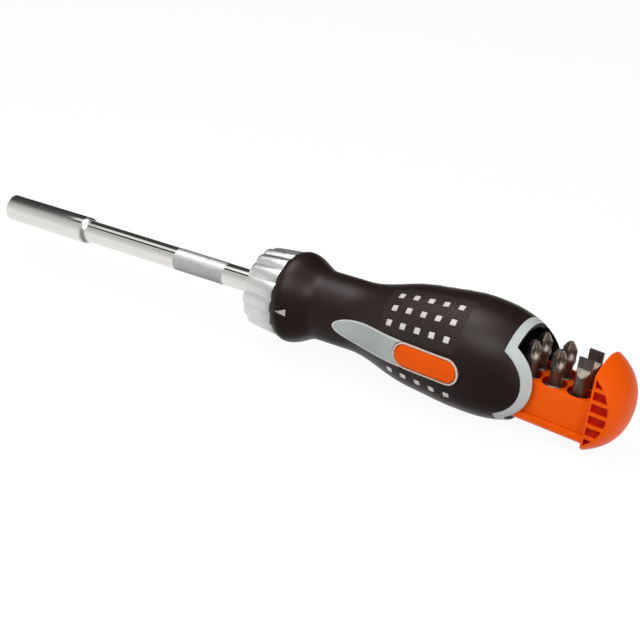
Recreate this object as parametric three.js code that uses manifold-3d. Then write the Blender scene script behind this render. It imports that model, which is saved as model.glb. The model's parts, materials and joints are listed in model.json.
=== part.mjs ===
// Ratchet screwdriver for hex bits, with a bit magazine that slides out of the handle. Millimetres.
// The tool lies along X: the bit end points to -X, the magazine opens to +X, the stored bits stand up
// along +Z and the release button faces -Y. The origin is on the drive axis, where a bit's rear end sits.
import * as THREE from 'three';
import { mergeVertices } from 'three/addons/utils/BufferGeometryUtils.js';
import Module from 'manifold-3d';

const wasm = await Module();
wasm.setup();

// Clearances and fineness
const GAP = 0.3; // between neighbouring pieces
const PROUD = 0.15; // by which studs, mark and button stand above the grip
const PAST = 1; // by which cutting tools reach past what they cut
const ROUND_STEPS = 28; // sides of the handle
const SHAFT_STEPS = 24; // sides of turned steel pieces
const PIN_STEPS = 16; // sides of pins, wells and balls
const CURVE_STEPS = 8; // points on each curve of a side plate
const WELD = 1e-4; // vertices closer than this are one

// Bit socket and shaft
const HEX_ACROSS_FLATS = 6.35;
const HEX_PLAY = 0.2; // by which the socket's hex is wider than a bit
const SOCKET_DEPTH = 13;
const SOCKET_DIAMETER = 9.8;
const SOCKET_LENGTH = 39;
const SOCKET_CHAMFER = 0.7;
const SOCKET_SHOULDER = 2.4; // length of the rounded rear shoulder
const SHANK_DIAMETER = 8;
const SHANK_LENGTH = 78.5; // between the socket and the collar
const NOSE_DIAMETER = 5.4; // spigot of the rod inside the socket
const MAGNET_LENGTH = 4;
const JOURNAL_LENGTH = 44; // of the rod behind the collar's front face
const ROD_CHAMFER = 0.6;
const CIRCLIP_GROOVE_DEPTH = 0.7;
const CIRCLIP_GROOVE_AT = 3; // from the rod's rear end
const CIRCLIP_THICKNESS = 1;
const CIRCLIP_WIDTH = 1.7;
const CIRCLIP_MOUTH = 2.4;
const WASHER_THICKNESS = 1;
const WASHER_WIDTH = 2.2;

// Selector collar and ratchet
const COLLAR_LENGTH = 12.5;
const COLLAR_FRONT_DIAMETER = 27.8;
const COLLAR_REAR_DIAMETER = 30.2;
const COLLAR_CHAMFER = 1;
const COLLAR_LOBES = 16;
const COLLAR_LOBE_DEPTH = 0.7;
const COLLAR_LOBE_STEPS = 4;
const COLLAR_FRONT_WALL = 2.6;
const COLLAR_BORE_DIAMETER = 23.4;
const CAM_RIB_WIDTH = 2.2;
const CAM_RIB_HEIGHT = 0.9;
const BUSH_WALL = 1.3;
const WHEEL_DIAMETER = 14;
const WHEEL_TEETH = 24;
const WHEEL_TOOTH_DEPTH = 0.9;
const WHEEL_ROOT_SHARE = 0.32; // of the pitch, at the foot of each gap
const WHEEL_TIP_SHARE = 0.2; // of the pitch, on the crest of each tooth
const WHEEL_WIDTH = 5;
const WHEEL_SEAT_ACROSS_FLATS = 7.2;
const PAWL_TOE_ANGLE = 31; // of each toe from the pin, round the wheel
const PAWL_TOE_WIDTH = 0.5;
const PAWL_TOE_CLEARANCE = 0.25;
const PAWL_HALF_WIDTH = 4.6;
const PAWL_CREST_HALF_WIDTH = 1; // of the flat that faces the collar's rib
const PAWL_BACK_DROP = 0.4; // from that flat to the pawl's shoulders
const PAWL_PIN_DIAMETER = 1.6;
const PAWL_PIN_WALL = 0.7; // of the pawl above and below its pin
const CARRIER_THICKNESS = 4.2;
const CARRIER_SPIGOT_DIAMETER = 15;
const CARRIER_SPIGOT_LENGTH = 6;
const DETENT_BALL_DIAMETER = 2.4;
const DETENT_STANDOUT = 0.1; // of the ball above its carrier, pressed in as between two clicks
const DETENT_STEP_ANGLE = 20;
const SPRING_WIRE = 0.4;
const SPRING_STEPS = 8; // points in each turn
const WIRE_SIDES = 6;
const DETENT_SPRING_TURNS = 3;

// Handle outline, as lengths behind the handle's front face and diameters
const FLANGE_FRONT_DIAMETER = 30.4;
const FLANGE_DIAMETER = 31.5;
const FLANGE_CREST_AT = 1.9;
const NECK_DIAMETER = 23.8;
const NECK_FROM = 13.2;
const NECK_TO = 25.8;
const SHOULDER_DIAMETER = 34.2;
const SHOULDER_AT = 52.8;
const BELLY_FROM = 46.8;
const BELLY_DIAMETER = 37.9;
const BELLY_AT = 69.8;
const END_LENGTH = 27.5; // rounded end behind the belly
const END_FULLNESS = 2.4; // exponent of the end's superellipse
const OUTLINE_STEP = 4.5;
const END_STEPS = 9;

// Handle build
const SLEEVE_WALL = 1;
const CHAMBER_DIAMETER = 15;
const REAR_TILT = 4; // droop of the magazine's path, degrees
const MOUTH_AT = 17.2; // mouth plane behind the belly, along the magazine's path
const EAR_INNER = 10.5; // half width between the flat inner faces of the handle's ears
const TRIM_WIDTH = 2.7;
const INLAY_FROM = 22.3;
const INLAY_TO = 73.2;
const INLAY_HALF_WIDTH = 4.6;
const INLAY_NOSE = 17; // length of the tapering front
const INLAY_DROP = 0.45; // of the inlay's middle line below the axis
const BUTTON_FROM = 49.2;
const BUTTON_TO = 72.1;
const BUTTON_HALF_WIDTH = 3.7;
const BUTTON_DEPTH = 2.4; // below the sleeve
const BUTTON_TRAVEL = 1.5;
const BUTTON_SPRING_DIAMETER = 5;
const BUTTON_SPRING_TURNS = 3;
const BUTTON_SPRING_FLOOR = 1.1; // core between the spring and the magazine
const STUD_SIZE = 2.3;
const STUD_COLUMNS = 5;
const STUD_FIRST_AT = 44.7;
const STUD_PITCH = 5.48;
const STUD_UPPER_ROWS = 3;
const STUD_LOWER_ROWS = 1;
const STUD_FIRST_ANGLE = 29;
const STUD_ROW_ANGLE = 18.3;
const STUD_LOWER_SHIFT = 1.8; // by which the lower studs sit further back
const STUD_PLATE = 0.9;
const STUD_PLATE_MARGIN = 1.9;
const MARK_AT = 2.4;
const MARK_LENGTH = 3.4;
const MARK_WIDTH = 2.4;

// Magazine
const MAGAZINE_TRAVEL = 25.5;
const BIT_LENGTH = 25;
const BIT_POCKET_PLAY = 0.45;
const BIT_PITCH = 8.5;
const BIT_ROW_HALF = 3.85;
const BIT_COLUMNS = 3;
const BIT_TIPS = ['cross', 'cross', 'flat']; // by column, from the mouth
const BIT_TO_CAP = 5.8; // from the last pair of bits to the cap
const BIT_TO_TRAY_END = 5; // from the first pair of bits to the tray's front
const BIT_SEAT_DEPTH = 11.8; // of the pocket floors below the magazine's axis
const TRAY_TOP = 2.2;
const TRAY_HALF_WIDTH = 8.9;
const WELL_DIAMETER = 8; // of the round well in the tray's top, round each bit
const WELL_DEPTH = 2.8;
const TRAY_LEDGE = 0.9;
const TRAY_LEDGE_TOP = -8.6;
const TRAY_TAIL_LENGTH = 10;
const TRAY_TAIL_TOP = -2;
const TRAY_TAIL_STEP = 3; // by which the tail is slimmer than the tray
const TRAY_BORE_GAP = 0.35;
const MOUTH_WALL = 1.35; // of the trim above and below the mouth
const CAP_POCKETS = 6;
const CAP_RIB = 1.3;
const CAP_POCKET_DEPTH = 1.4;
const CAP_POCKET_MARGIN = 0.7;
const BIT_STEPS = 12;
const BIT_CHAMFER = 0.6;
const BIT_SHOULDER = 1.6;
const BIT_NECK_DIAMETER = 3.9;
const BIT_HEAD_DIAMETER = 4.8;
const BIT_HEAD_TAPER = 1;
const BIT_TIP_DIAMETER = 2;
const BIT_HEX_LENGTH = 13.2;
const BIT_NECK_LENGTH = 4;
const BIT_POINT_LENGTH = 2.2;
const BIT_BLADE_THICKNESS = 1;
const BIT_BLADE_LENGTH = 5;
const BIT_WING_WIDTH = 2.4;
const BIT_FLUTE_LENGTH = 3.8;

const rad = THREE.MathUtils.degToRad;
const socketRadius = SOCKET_DIAMETER / 2;
const shankRadius = SHANK_DIAMETER / 2;
const noseRadius = NOSE_DIAMETER / 2;
const socketTip = -SOCKET_DEPTH;
const socketRear = socketTip + SOCKET_LENGTH;
const collarFront = socketRear + SHANK_LENGTH;
const collarRear = collarFront + COLLAR_LENGTH;
const handleFront = collarRear + GAP;
const rodRear = collarFront + JOURNAL_LENGTH;
const belly = handleFront + BELLY_AT;

// Materials
function finish(color, roughness, metalness) {
  return new THREE.MeshStandardMaterial({ color, roughness, metalness });
}

const chrome = finish(0xd8dadd, 0.12, 1);
const satinSilver = finish(0xcfd2d2, 0.3, 0.9);
const steel = finish(0x8d9094, 0.4, 0.9);
const darkSteel = finish(0x5d5a57, 0.45, 0.8);
const brass = finish(0xb08d4f, 0.4, 0.9);
const blackRubber = finish(0x1b1717, 0.55, 0);
const blackPlastic = finish(0x141313, 0.5, 0);
const greyPlastic = finish(0xa9aeac, 0.5, 0);
const lightPlastic = finish(0xd2cfcd, 0.5, 0);
const orangePlastic = finish(0xec5a08, 0.42, 0);

// Solids

function volumeOf(points, triangles) {
  const a = new THREE.Vector3();
  const b = new THREE.Vector3();
  const c = new THREE.Vector3();
  let total = 0;
  for (let i = 0; i < triangles.length; i += 3) {
    a.fromArray(points, triangles[i] * 3);
    b.fromArray(points, triangles[i + 1] * 3);
    c.fromArray(points, triangles[i + 2] * 3);
    total += a.dot(b.cross(c)) / 6;
  }
  return total;
}

// A closed solid from a geometry: welded, without collapsed triangles, facing out.
function solid(geometry) {
  const bare = geometry.clone();
  bare.deleteAttribute('normal');
  bare.deleteAttribute('uv');
  const merged = mergeVertices(bare, WELD);
  const points = merged.attributes.position.array;
  const source = merged.index.array;
  const triangles = [];
  for (let i = 0; i < source.length; i += 3) {
    const [a, b, c] = [source[i], source[i + 1], source[i + 2]];
    if (a !== b && b !== c && a !== c) {
      triangles.push(a, b, c);
    }
  }
  if (volumeOf(points, triangles) < 0) {
    triangles.reverse();
  }
  const vertProperties = new Float32Array(points);
  const triVerts = new Uint32Array(triangles);
  return new wasm.Manifold(new wasm.Mesh({ numProp: 3, vertProperties, triVerts }));
}

const join = (...solids) => solids.reduce((whole, next) => whole.add(next));
const cut = (whole, ...tools) => tools.reduce((left, tool) => left.subtract(tool), whole);
const common = (...solids) => solids.reduce((whole, next) => whole.intersect(next));

function geometryOf(body) {
  const mesh = body.getMesh();
  const geometry = new THREE.BufferGeometry();
  geometry.setAttribute('position', new THREE.BufferAttribute(new Float32Array(mesh.vertProperties), 3));
  geometry.setIndex(Array.from(mesh.triVerts));
  geometry.computeVertexNormals();
  return geometry;
}

// Axes of a lathe, and of sections and plates before extrusion, in the tool's frame.
const latheToTool = new THREE.Matrix4().makeBasis(
  new THREE.Vector3(0, 0, 1), new THREE.Vector3(1, 0, 0), new THREE.Vector3(0, 1, 0));
const sectionToTool = new THREE.Matrix4().makeBasis(
  new THREE.Vector3(0, 1, 0), new THREE.Vector3(0, 0, 1), new THREE.Vector3(1, 0, 0));
const plateToTool = new THREE.Matrix4().makeBasis(
  new THREE.Vector3(1, 0, 0), new THREE.Vector3(0, 0, 1), new THREE.Vector3(0, -1, 0));

// A body of revolution about X from [x, radius] points; it closes itself on the axis.
function turnedGeometry(outline, steps) {
  const profile = outline.map(([x, r]) => new THREE.Vector2(r, x));
  profile.unshift(new THREE.Vector2(0, outline[0][0]));
  profile.push(new THREE.Vector2(0, outline[outline.length - 1][0]));
  return new THREE.LatheGeometry(profile, steps).applyMatrix4(latheToTool);
}

const turned = (outline, steps = SHAFT_STEPS) => solid(turnedGeometry(outline, steps));
const disc = (from, to, radius, steps = SHAFT_STEPS) => turned([[from, radius], [to, radius]], steps);

// A [y, z] outline extruded along X.
function bar(outline, from, to) {
  const shape = new THREE.Shape(outline.map(([y, z]) => new THREE.Vector2(y, z)));
  const geometry = new THREE.ExtrudeGeometry(shape, { depth: to - from, bevelEnabled: false });
  return solid(geometry.applyMatrix4(sectionToTool).translate(from, 0, 0));
}

function block(fromX, toX, fromY, toY, fromZ, toZ) {
  const geometry = new THREE.BoxGeometry(toX - fromX, toY - fromY, toZ - fromZ);
  return solid(geometry.translate((fromX + toX) / 2, (fromY + toY) / 2, (fromZ + toZ) / 2));
}

function hexOutline(acrossFlats, turn = 0) {
  const radius = acrossFlats / Math.sqrt(3);
  const corners = [0, 1, 2, 3, 4, 5].map((i) => rad(60 * i + turn));
  return corners.map((a) => [radius * Math.cos(a), radius * Math.sin(a)]);
}

// A coil spring along X, from a helix of round wire with its ends closed.
function coilGeometry(from, to, diameter, turns) {
  const points = [];
  const wireRadius = SPRING_WIRE / 2;
  const radius = diameter / 2 - wireRadius;
  const count = turns * SPRING_STEPS;
  for (let i = 0; i <= count; i += 1) {
    const angle = (2 * Math.PI * i) / SPRING_STEPS;
    const x = from + wireRadius + (to - from - SPRING_WIRE) * (i / count);
    points.push(new THREE.Vector3(x, radius * Math.cos(angle), radius * Math.sin(angle)));
  }
  const wire = new THREE.Shape();
  wire.absarc(0, 0, wireRadius, 0, 2 * Math.PI);
  const extrudePath = new THREE.CatmullRomCurve3(points);
  const settings = { steps: count, curveSegments: WIRE_SIDES / 2, extrudePath, bevelEnabled: false };
  return new THREE.ExtrudeGeometry(wire, settings);
}

const tool = new THREE.Group();
const rear = new THREE.Group();
rear.position.set(belly, 0, 0);
rear.rotation.y = rad(REAR_TILT);
tool.add(rear);
rear.updateMatrix();

function piece(name, body, material, parent = tool) {
  const mesh = new THREE.Mesh(geometryOf(body), material);
  mesh.name = name;
  parent.add(mesh);
  return mesh;
}

// Moves a solid made in the magazine's frame into the tool's frame.
const fromRear = (body) => solid(geometryOf(body).applyMatrix4(rear.matrix));

// Drive: socket, magnet and rod

function driveShaft() {
  const boreRadius = noseRadius + GAP;
  const shoulderFrom = socketRear - SOCKET_SHOULDER;
  const shoulderDrop = socketRadius - shankRadius;
  const shoulder = [30, 60, 90].map((a) => [
    shoulderFrom + SOCKET_SHOULDER * Math.sin(rad(a)),
    socketRadius - shoulderDrop * (1 - Math.cos(rad(a))),
  ]);
  const socket = turned([
    [socketTip, socketRadius - SOCKET_CHAMFER],
    [socketTip + SOCKET_CHAMFER, socketRadius],
    [shoulderFrom, socketRadius],
    ...shoulder,
  ]);
  const hexBore = bar(hexOutline(HEX_ACROSS_FLATS + HEX_PLAY), socketTip - PAST, 0);
  const rearBore = disc(-PAST, socketRear + PAST, boreRadius);
  piece('bit_socket', cut(socket, hexBore, rearBore), chrome);
  piece('bit_magnet', disc(0, MAGNET_LENGTH, noseRadius), darkSteel);

  const grooveTo = rodRear - CIRCLIP_GROOVE_AT;
  const grooveFrom = grooveTo - CIRCLIP_THICKNESS - GAP;
  const grooveRadius = shankRadius - CIRCLIP_GROOVE_DEPTH;
  const rod = turned([
    [MAGNET_LENGTH + GAP, noseRadius],
    [socketRear + GAP, noseRadius],
    [socketRear + GAP, shankRadius],
    [grooveFrom, shankRadius],
    [grooveFrom, grooveRadius],
    [grooveTo, grooveRadius],
    [grooveTo, shankRadius],
    [rodRear - ROD_CHAMFER, shankRadius],
    [rodRear, shankRadius - ROD_CHAMFER],
  ]);
  const seatFrom = wheelFrom - GAP;
  const seatTo = wheelFrom + WHEEL_WIDTH + GAP;
  const flats = cut(
    disc(seatFrom, seatTo, SHANK_DIAMETER),
    bar(hexOutline(WHEEL_SEAT_ACROSS_FLATS), seatFrom - PAST, seatTo + PAST));
  piece('shaft_rod', cut(rod, flats), chrome);

  const circlipFrom = grooveFrom + GAP / 2;
  const circlipInner = grooveRadius + GAP / 2;
  const circlip = cut(
    disc(circlipFrom, circlipFrom + CIRCLIP_THICKNESS, circlipInner + CIRCLIP_WIDTH),
    disc(circlipFrom - PAST, circlipFrom + CIRCLIP_THICKNESS + PAST, circlipInner),
    block(circlipFrom - PAST, circlipFrom + CIRCLIP_THICKNESS + PAST,
      -CIRCLIP_MOUTH / 2, CIRCLIP_MOUTH / 2, 0, SHANK_DIAMETER));
  piece('shaft_circlip', circlip, steel);

  const washerTo = circlipFrom - GAP / 2;
  const washerInner = shankRadius + GAP;
  const washer = cut(
    disc(washerTo - WASHER_THICKNESS, washerTo, washerInner + WASHER_WIDTH),
    disc(washerTo - WASHER_THICKNESS - PAST, washerTo + PAST, washerInner));
  piece('thrust_washer', washer, brass);
  return washerTo - WASHER_THICKNESS;
}

// Selector collar, ratchet wheel, rocking pawl and detent

const collarInside = collarFront + COLLAR_FRONT_WALL;
const carrierFrom = collarRear - CARRIER_THICKNESS;
const wheelFrom = carrierFrom - GAP - WHEEL_WIDTH;
const wheelRadius = WHEEL_DIAMETER / 2;
const collarBore = COLLAR_BORE_DIAMETER / 2;
const carrierRadius = collarBore - GAP;
const pawlBack = collarBore - CAM_RIB_HEIGHT - GAP;
const pawlPinAt = pawlBack - PAWL_PIN_WALL - PAWL_PIN_DIAMETER / 2;

function selectorCollar() {
  const front = COLLAR_FRONT_DIAMETER / 2;
  const back = COLLAR_REAR_DIAMETER / 2;
  const outline = [
    [collarFront, front - COLLAR_CHAMFER],
    [collarFront + COLLAR_CHAMFER, front],
    [collarRear - COLLAR_CHAMFER / 2, back],
    [collarRear, back - COLLAR_CHAMFER / 2],
  ];
  const geometry = turnedGeometry(outline, COLLAR_LOBES * COLLAR_LOBE_STEPS);
  const point = new THREE.Vector3();
  const position = geometry.attributes.position;
  for (let i = 0; i < position.count; i += 1) {
    point.fromBufferAttribute(position, i);
    const radius = Math.hypot(point.y, point.z);
    if (radius > WELD) {
      const valley = 1 - Math.abs(Math.cos((COLLAR_LOBES / 2) * Math.atan2(point.z, point.y)));
      const shrink = 1 - (COLLAR_LOBE_DEPTH * valley) / radius;
      position.setXYZ(i, point.x, point.y * shrink, point.z * shrink);
    }
  }
  const bushBore = shankRadius + GAP + BUSH_WALL + GAP;
  const hollow = disc(collarInside, collarRear + PAST, collarBore, ROUND_STEPS);
  const rib = block(collarInside - PAST, carrierFrom - GAP, -CAM_RIB_WIDTH / 2, CAM_RIB_WIDTH / 2,
    collarBore - CAM_RIB_HEIGHT, collarBore + PAST);
  const notches = [-1, 0, 1].map((step) => {
    const angle = rad(DETENT_STEP_ANGLE * step - 90);
    const ball = new THREE.SphereGeometry(DETENT_BALL_DIAMETER / 2 + GAP, PIN_STEPS, PIN_STEPS / 2);
    return solid(ball.translate(ballAt, ballOut * Math.cos(angle), ballOut * Math.sin(angle)));
  });
  const shell = cut(solid(geometry), hollow, disc(collarFront - PAST, collarInside + PAST, bushBore));
  piece('selector_collar', cut(join(shell, rib), ...notches), satinSilver);

  const bush = cut(
    disc(collarFront + GAP, collarInside, bushBore - GAP),
    disc(collarFront - PAST, collarInside + PAST, shankRadius + GAP));
  piece('collar_bush', bush, brass);
}

const ballAt = carrierFrom + CARRIER_THICKNESS / 2;
const ballOut = carrierRadius + DETENT_STANDOUT - DETENT_BALL_DIAMETER / 2;

function ratchet() {
  const outline = [];
  const pitch = 360 / WHEEL_TEETH;
  const root = wheelRadius - WHEEL_TOOTH_DEPTH;
  const corners = [
    [-WHEEL_ROOT_SHARE / 2, root], [WHEEL_ROOT_SHARE / 2, root],
    [(1 - WHEEL_TIP_SHARE) / 2, wheelRadius], [(1 + WHEEL_TIP_SHARE) / 2, wheelRadius],
  ];
  for (let i = 0; i < WHEEL_TEETH; i += 1) {
    const gapMiddle = pitch * i;
    corners.forEach(([share, radius]) => {
      const angle = rad(gapMiddle + pitch * share);
      outline.push([radius * Math.cos(angle), radius * Math.sin(angle)]);
    });
  }
  const wheelTo = wheelFrom + WHEEL_WIDTH;
  const keyHole = bar(hexOutline(WHEEL_SEAT_ACROSS_FLATS + 2 * GAP), wheelFrom - PAST, wheelTo + PAST);
  piece('ratchet_wheel', cut(bar(outline, wheelFrom, wheelTo), keyHole), steel);

  const toeRadius = wheelRadius + PAWL_TOE_CLEARANCE;
  const toeY = toeRadius * Math.sin(rad(PAWL_TOE_ANGLE));
  const toeZ = toeRadius * Math.cos(rad(PAWL_TOE_ANGLE));
  const toeInner = toeY - PAWL_TOE_WIDTH / 2;
  const toeOuter = toeY + PAWL_TOE_WIDTH / 2;
  const archZ = pawlPinAt - PAWL_PIN_WALL - PAWL_PIN_DIAMETER / 2;
  const shoulderY = PAWL_HALF_WIDTH - PAWL_CREST_HALF_WIDTH;
  const shoulderZ = pawlBack - PAWL_BACK_DROP;
  const pawlOutline = [
    [-toeOuter, toeZ], [-toeInner, toeZ], [-toeInner, archZ],
    [toeInner, archZ], [toeInner, toeZ], [toeOuter, toeZ],
    [PAWL_HALF_WIDTH, pawlPinAt], [shoulderY, shoulderZ], [PAWL_CREST_HALF_WIDTH, pawlBack],
    [-PAWL_CREST_HALF_WIDTH, pawlBack], [-shoulderY, shoulderZ], [-PAWL_HALF_WIDTH, pawlPinAt],
  ];
  const pinRadius = PAWL_PIN_DIAMETER / 2;
  const pinHole = atPin(disc(wheelFrom - PAST, wheelTo + PAST, pinRadius + GAP, PIN_STEPS));
  piece('rocker_pawl', cut(bar(pawlOutline, wheelFrom, wheelTo), pinHole), steel);
  piece('pawl_pin', atPin(disc(wheelFrom, collarRear, pinRadius, PIN_STEPS)), darkSteel);
}

const atPin = (body) => body.translate([0, 0, pawlPinAt]);

function pawlCarrier() {
  const plate = disc(carrierFrom, collarRear, carrierRadius, ROUND_STEPS);
  const spigotTo = handleFront + CARRIER_SPIGOT_LENGTH;
  const spigot = disc(collarRear - PAST, spigotTo, CARRIER_SPIGOT_DIAMETER / 2);
  const bore = disc(carrierFrom - PAST, spigotTo + PAST, shankRadius + GAP);
  const pinHole = atPin(disc(carrierFrom - PAST, collarRear + PAST, PAWL_PIN_DIAMETER / 2 + GAP, PIN_STEPS));
  const wellRadius = DETENT_BALL_DIAMETER / 2 + GAP;
  const well = new THREE.CylinderGeometry(wellRadius, wellRadius, carrierRadius, PIN_STEPS);
  const wellTop = shankRadius + GAP + BUSH_WALL;
  const wellHole = solid(well.rotateX(Math.PI / 2).translate(ballAt, 0, -wellTop - carrierRadius / 2));
  piece('pawl_carrier', cut(join(plate, spigot), bore, pinHole, wellHole), darkSteel);

  const ball = new THREE.SphereGeometry(DETENT_BALL_DIAMETER / 2, PIN_STEPS, PIN_STEPS / 2);
  piece('detent_ball', solid(ball.translate(ballAt, 0, -ballOut)), chrome);
  const springTo = ballOut - DETENT_BALL_DIAMETER / 2 - GAP / 2;
  const coil = coilGeometry(wellTop + GAP / 2, springTo, DETENT_BALL_DIAMETER, DETENT_SPRING_TURNS);
  piece('detent_spring', solid(coil.rotateY(Math.PI / 2).translate(ballAt, 0, 0)), steel);
}

// Handle

const blend = (t) => (1 - Math.cos(Math.PI * THREE.MathUtils.clamp(t, 0, 1))) / 2;

// Radius of the grip at a length behind the handle's front face, as far as the belly.
function gripRadius(at) {
  if (at < FLANGE_CREST_AT) {
    const rise = Math.sin((Math.PI / 2) * (at / FLANGE_CREST_AT));
    return (FLANGE_FRONT_DIAMETER + (FLANGE_DIAMETER - FLANGE_FRONT_DIAMETER) * rise) / 2;
  }
  const fall = blend((at - FLANGE_CREST_AT) / (NECK_FROM - FLANGE_CREST_AT));
  const rise = blend((at - NECK_TO) / (SHOULDER_AT - NECK_TO));
  const swell = blend((at - BELLY_FROM) / (BELLY_AT - BELLY_FROM));
  const diameter = FLANGE_DIAMETER + (NECK_DIAMETER - FLANGE_DIAMETER) * fall
    + (SHOULDER_DIAMETER - NECK_DIAMETER) * rise + (BELLY_DIAMETER - SHOULDER_DIAMETER) * swell;
  return diameter / 2;
}

// Radius of the rounded end at a length behind the belly.
function endRadius(at) {
  const share = (1 - (at / END_LENGTH) ** END_FULLNESS) ** (1 / END_FULLNESS);
  return (share * BELLY_DIAMETER) / 2;
}

// Points of the rounded end, as lengths behind the belly and radii, shrunk by inset.
function endOutline(inset) {
  const outline = [];
  for (let i = 0; i <= END_STEPS; i += 1) {
    const at = END_LENGTH * Math.sin((Math.PI / 2) * (i / END_STEPS));
    outline.push([at * (1 - inset / END_LENGTH), endRadius(at) * (1 - (2 * inset) / BELLY_DIAMETER)]);
  }
  return outline;
}

// The whole grip as one solid, shrunk by inset and drawn forward of the handle's front face if asked.
// Its end droops with the magazine's path.
function gripSolid(inset, forward = 0) {
  const outline = forward > 0 ? [[handleFront - forward, gripRadius(0) - inset]] : [];
  const steps = Math.ceil(BELLY_AT / OUTLINE_STEP);
  for (let i = 0; i < steps; i += 1) {
    const at = BELLY_AT * (i / steps);
    outline.push([handleFront + at, gripRadius(at) - inset]);
  }
  endOutline(inset).forEach(([at, radius]) => outline.push([belly + at, radius]));
  const geometry = turnedGeometry(outline, ROUND_STEPS);
  const position = geometry.attributes.position;
  const point = new THREE.Vector3();
  for (let i = 0; i < position.count; i += 1) {
    point.fromBufferAttribute(position, i);
    if (point.x > belly) {
      point.setX(point.x - belly).applyMatrix4(rear.matrix);
      position.setXYZ(i, point.x, point.y, point.z);
    }
  }
  return solid(geometry);
}

const far = 4 * BELLY_DIAMETER; // past everything, for cutting tools
const trimFrom = MOUTH_AT - TRIM_WIDTH;
const trimOuter = EAR_INNER + TRIM_WIDTH;
const boreRadius = endRadius(MOUTH_AT) - MOUTH_WALL;
const trayRadius = boreRadius - TRAY_BORE_GAP;
const bitsOpen = MOUTH_AT + GAP + MAGAZINE_TRAVEL - BIT_TO_CAP; // last pair of bits, magazine open
const trayFront = bitsOpen - (BIT_COLUMNS - 1) * BIT_PITCH - BIT_TO_TRAY_END;
const tailFront = trayFront - TRAY_TAIL_LENGTH;

// Space for the magazine inside the handle, in the magazine's frame.
function magazineSpace() {
  const from = trayFront - MAGAZINE_TRAVEL - GAP;
  const tailFrom = tailFront - MAGAZINE_TRAVEL - GAP;
  const main = common(disc(from, MOUTH_AT + PAST, boreRadius, ROUND_STEPS),
    block(from - PAST, MOUTH_AT + 2 * PAST, -EAR_INNER, EAR_INNER, -far, far));
  const tail = common(disc(tailFrom, from + PAST, boreRadius - TRAY_TAIL_STEP, ROUND_STEPS),
    block(tailFrom - PAST, from + 2 * PAST, -EAR_INNER, EAR_INNER, -far, TRAY_TAIL_TOP + GAP));
  return join(main, tail);
}

const betweenEars = () => block(MOUTH_AT, far, -EAR_INNER, EAR_INNER, -far, far);

const pillOutline = (from, to, half, middle) => {
  const shape = new THREE.Shape();
  shape.absarc(from + half, middle, half, Math.PI / 2, 1.5 * Math.PI);
  shape.absarc(to - half, middle, half, -Math.PI / 2, Math.PI / 2);
  return shape;
};

// A blade: a long elliptic nose at the front, straight along its middle and round at the rear.
const bladeOutline = (margin) => {
  const half = INLAY_HALF_WIDTH - margin;
  const noseTo = handleFront + INLAY_FROM + INLAY_NOSE;
  const to = handleFront + INLAY_TO - margin;
  const shape = new THREE.Shape();
  shape.absellipse(noseTo, -INLAY_DROP, INLAY_NOSE - margin, half, Math.PI / 2, 1.5 * Math.PI);
  shape.absarc(to - half, -INLAY_DROP, half, -Math.PI / 2, Math.PI / 2);
  return shape;
};

// A plate outline in X and Z, extruded outwards from |y| = from on one side of the tool.
function sideBar(shape, side, from, to) {
  const settings = { depth: to - from, bevelEnabled: false, curveSegments: CURVE_STEPS };
  const geometry = new THREE.ExtrudeGeometry(shape, settings).applyMatrix4(plateToTool);
  geometry.translate(0, -from, 0);
  return solid(side < 0 ? geometry : geometry.scale(1, -1, 1));
}

const buttonShape = (margin) => pillOutline(handleFront + BUTTON_FROM + margin,
  handleFront + BUTTON_TO - margin, BUTTON_HALF_WIDTH - margin, -INLAY_DROP);

const buttonOuter = gripRadius((BUTTON_FROM + BUTTON_TO) / 2);
const buttonInner = buttonOuter - SLEEVE_WALL - BUTTON_DEPTH;
const springSeat = EAR_INNER + BUTTON_SPRING_FLOOR;

const studRoot = NECK_DIAMETER / 4; // every stud starts below the plates and is cut there

const studFirstAt = (up) => STUD_FIRST_AT + (up < 0 ? STUD_LOWER_SHIFT : 0);
const studRows = (up) => (up < 0 ? STUD_LOWER_ROWS : STUD_UPPER_ROWS);

// Each stud's place: length along the tool and angle round it, measured upwards from the side.
function studPlaces(side, up) {
  const places = [];
  for (let row = 0; row < studRows(up); row += 1) {
    const angle = up * (STUD_FIRST_ANGLE + row * STUD_ROW_ANGLE);
    for (let column = 0; column < STUD_COLUMNS; column += 1) {
      places.push({ at: studFirstAt(up) + column * STUD_PITCH, angle, side });
    }
  }
  return places;
}

function stud({ at, angle, side }, size, from, to) {
  const geometry = new THREE.BoxGeometry(size, to - from, size);
  geometry.translate(0, (from + to) / 2, 0).rotateX(rad(angle));
  if (side < 0) {
    geometry.scale(1, -1, 1);
  }
  return solid(geometry.translate(handleFront + at, 0, 0));
}

// The sector round the axis that a stud plate fills, widened by margin.
function studSector(side, up, margin) {
  const first = rad(STUD_FIRST_ANGLE);
  const last = rad(STUD_FIRST_ANGLE + (studRows(up) - 1) * STUD_ROW_ANGLE);
  const spread = (STUD_PLATE_MARGIN + margin) / (NECK_DIAMETER / 2);
  const reach = BELLY_DIAMETER;
  const outline = [[0, 0]];
  [first - spread, (first + last) / 2, last + spread].forEach((angle) => {
    outline.push([side * reach * Math.cos(angle), up * reach * Math.sin(angle)]);
  });
  const firstAt = handleFront + studFirstAt(up);
  const lastAt = firstAt + (STUD_COLUMNS - 1) * STUD_PITCH;
  const edge = STUD_PLATE_MARGIN + margin;
  return bar(outline, firstAt - edge, lastAt + edge);
}

const sides = [[-1, 'left'], [1, 'right']];
const heights = [[1, 'upper'], [-1, 'lower']];

function markSolid(margin) {
  const from = handleFront + MARK_AT - 2 * margin;
  const to = handleFront + MARK_AT + MARK_LENGTH + margin;
  const half = MARK_WIDTH / 2 + margin;
  const shape = new THREE.Shape([
    new THREE.Vector2(from, 0), new THREE.Vector2(to, -half), new THREE.Vector2(to, half)]);
  return sideBar(shape, -1, NECK_DIAMETER / 2, FLANGE_DIAMETER);
}

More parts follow.
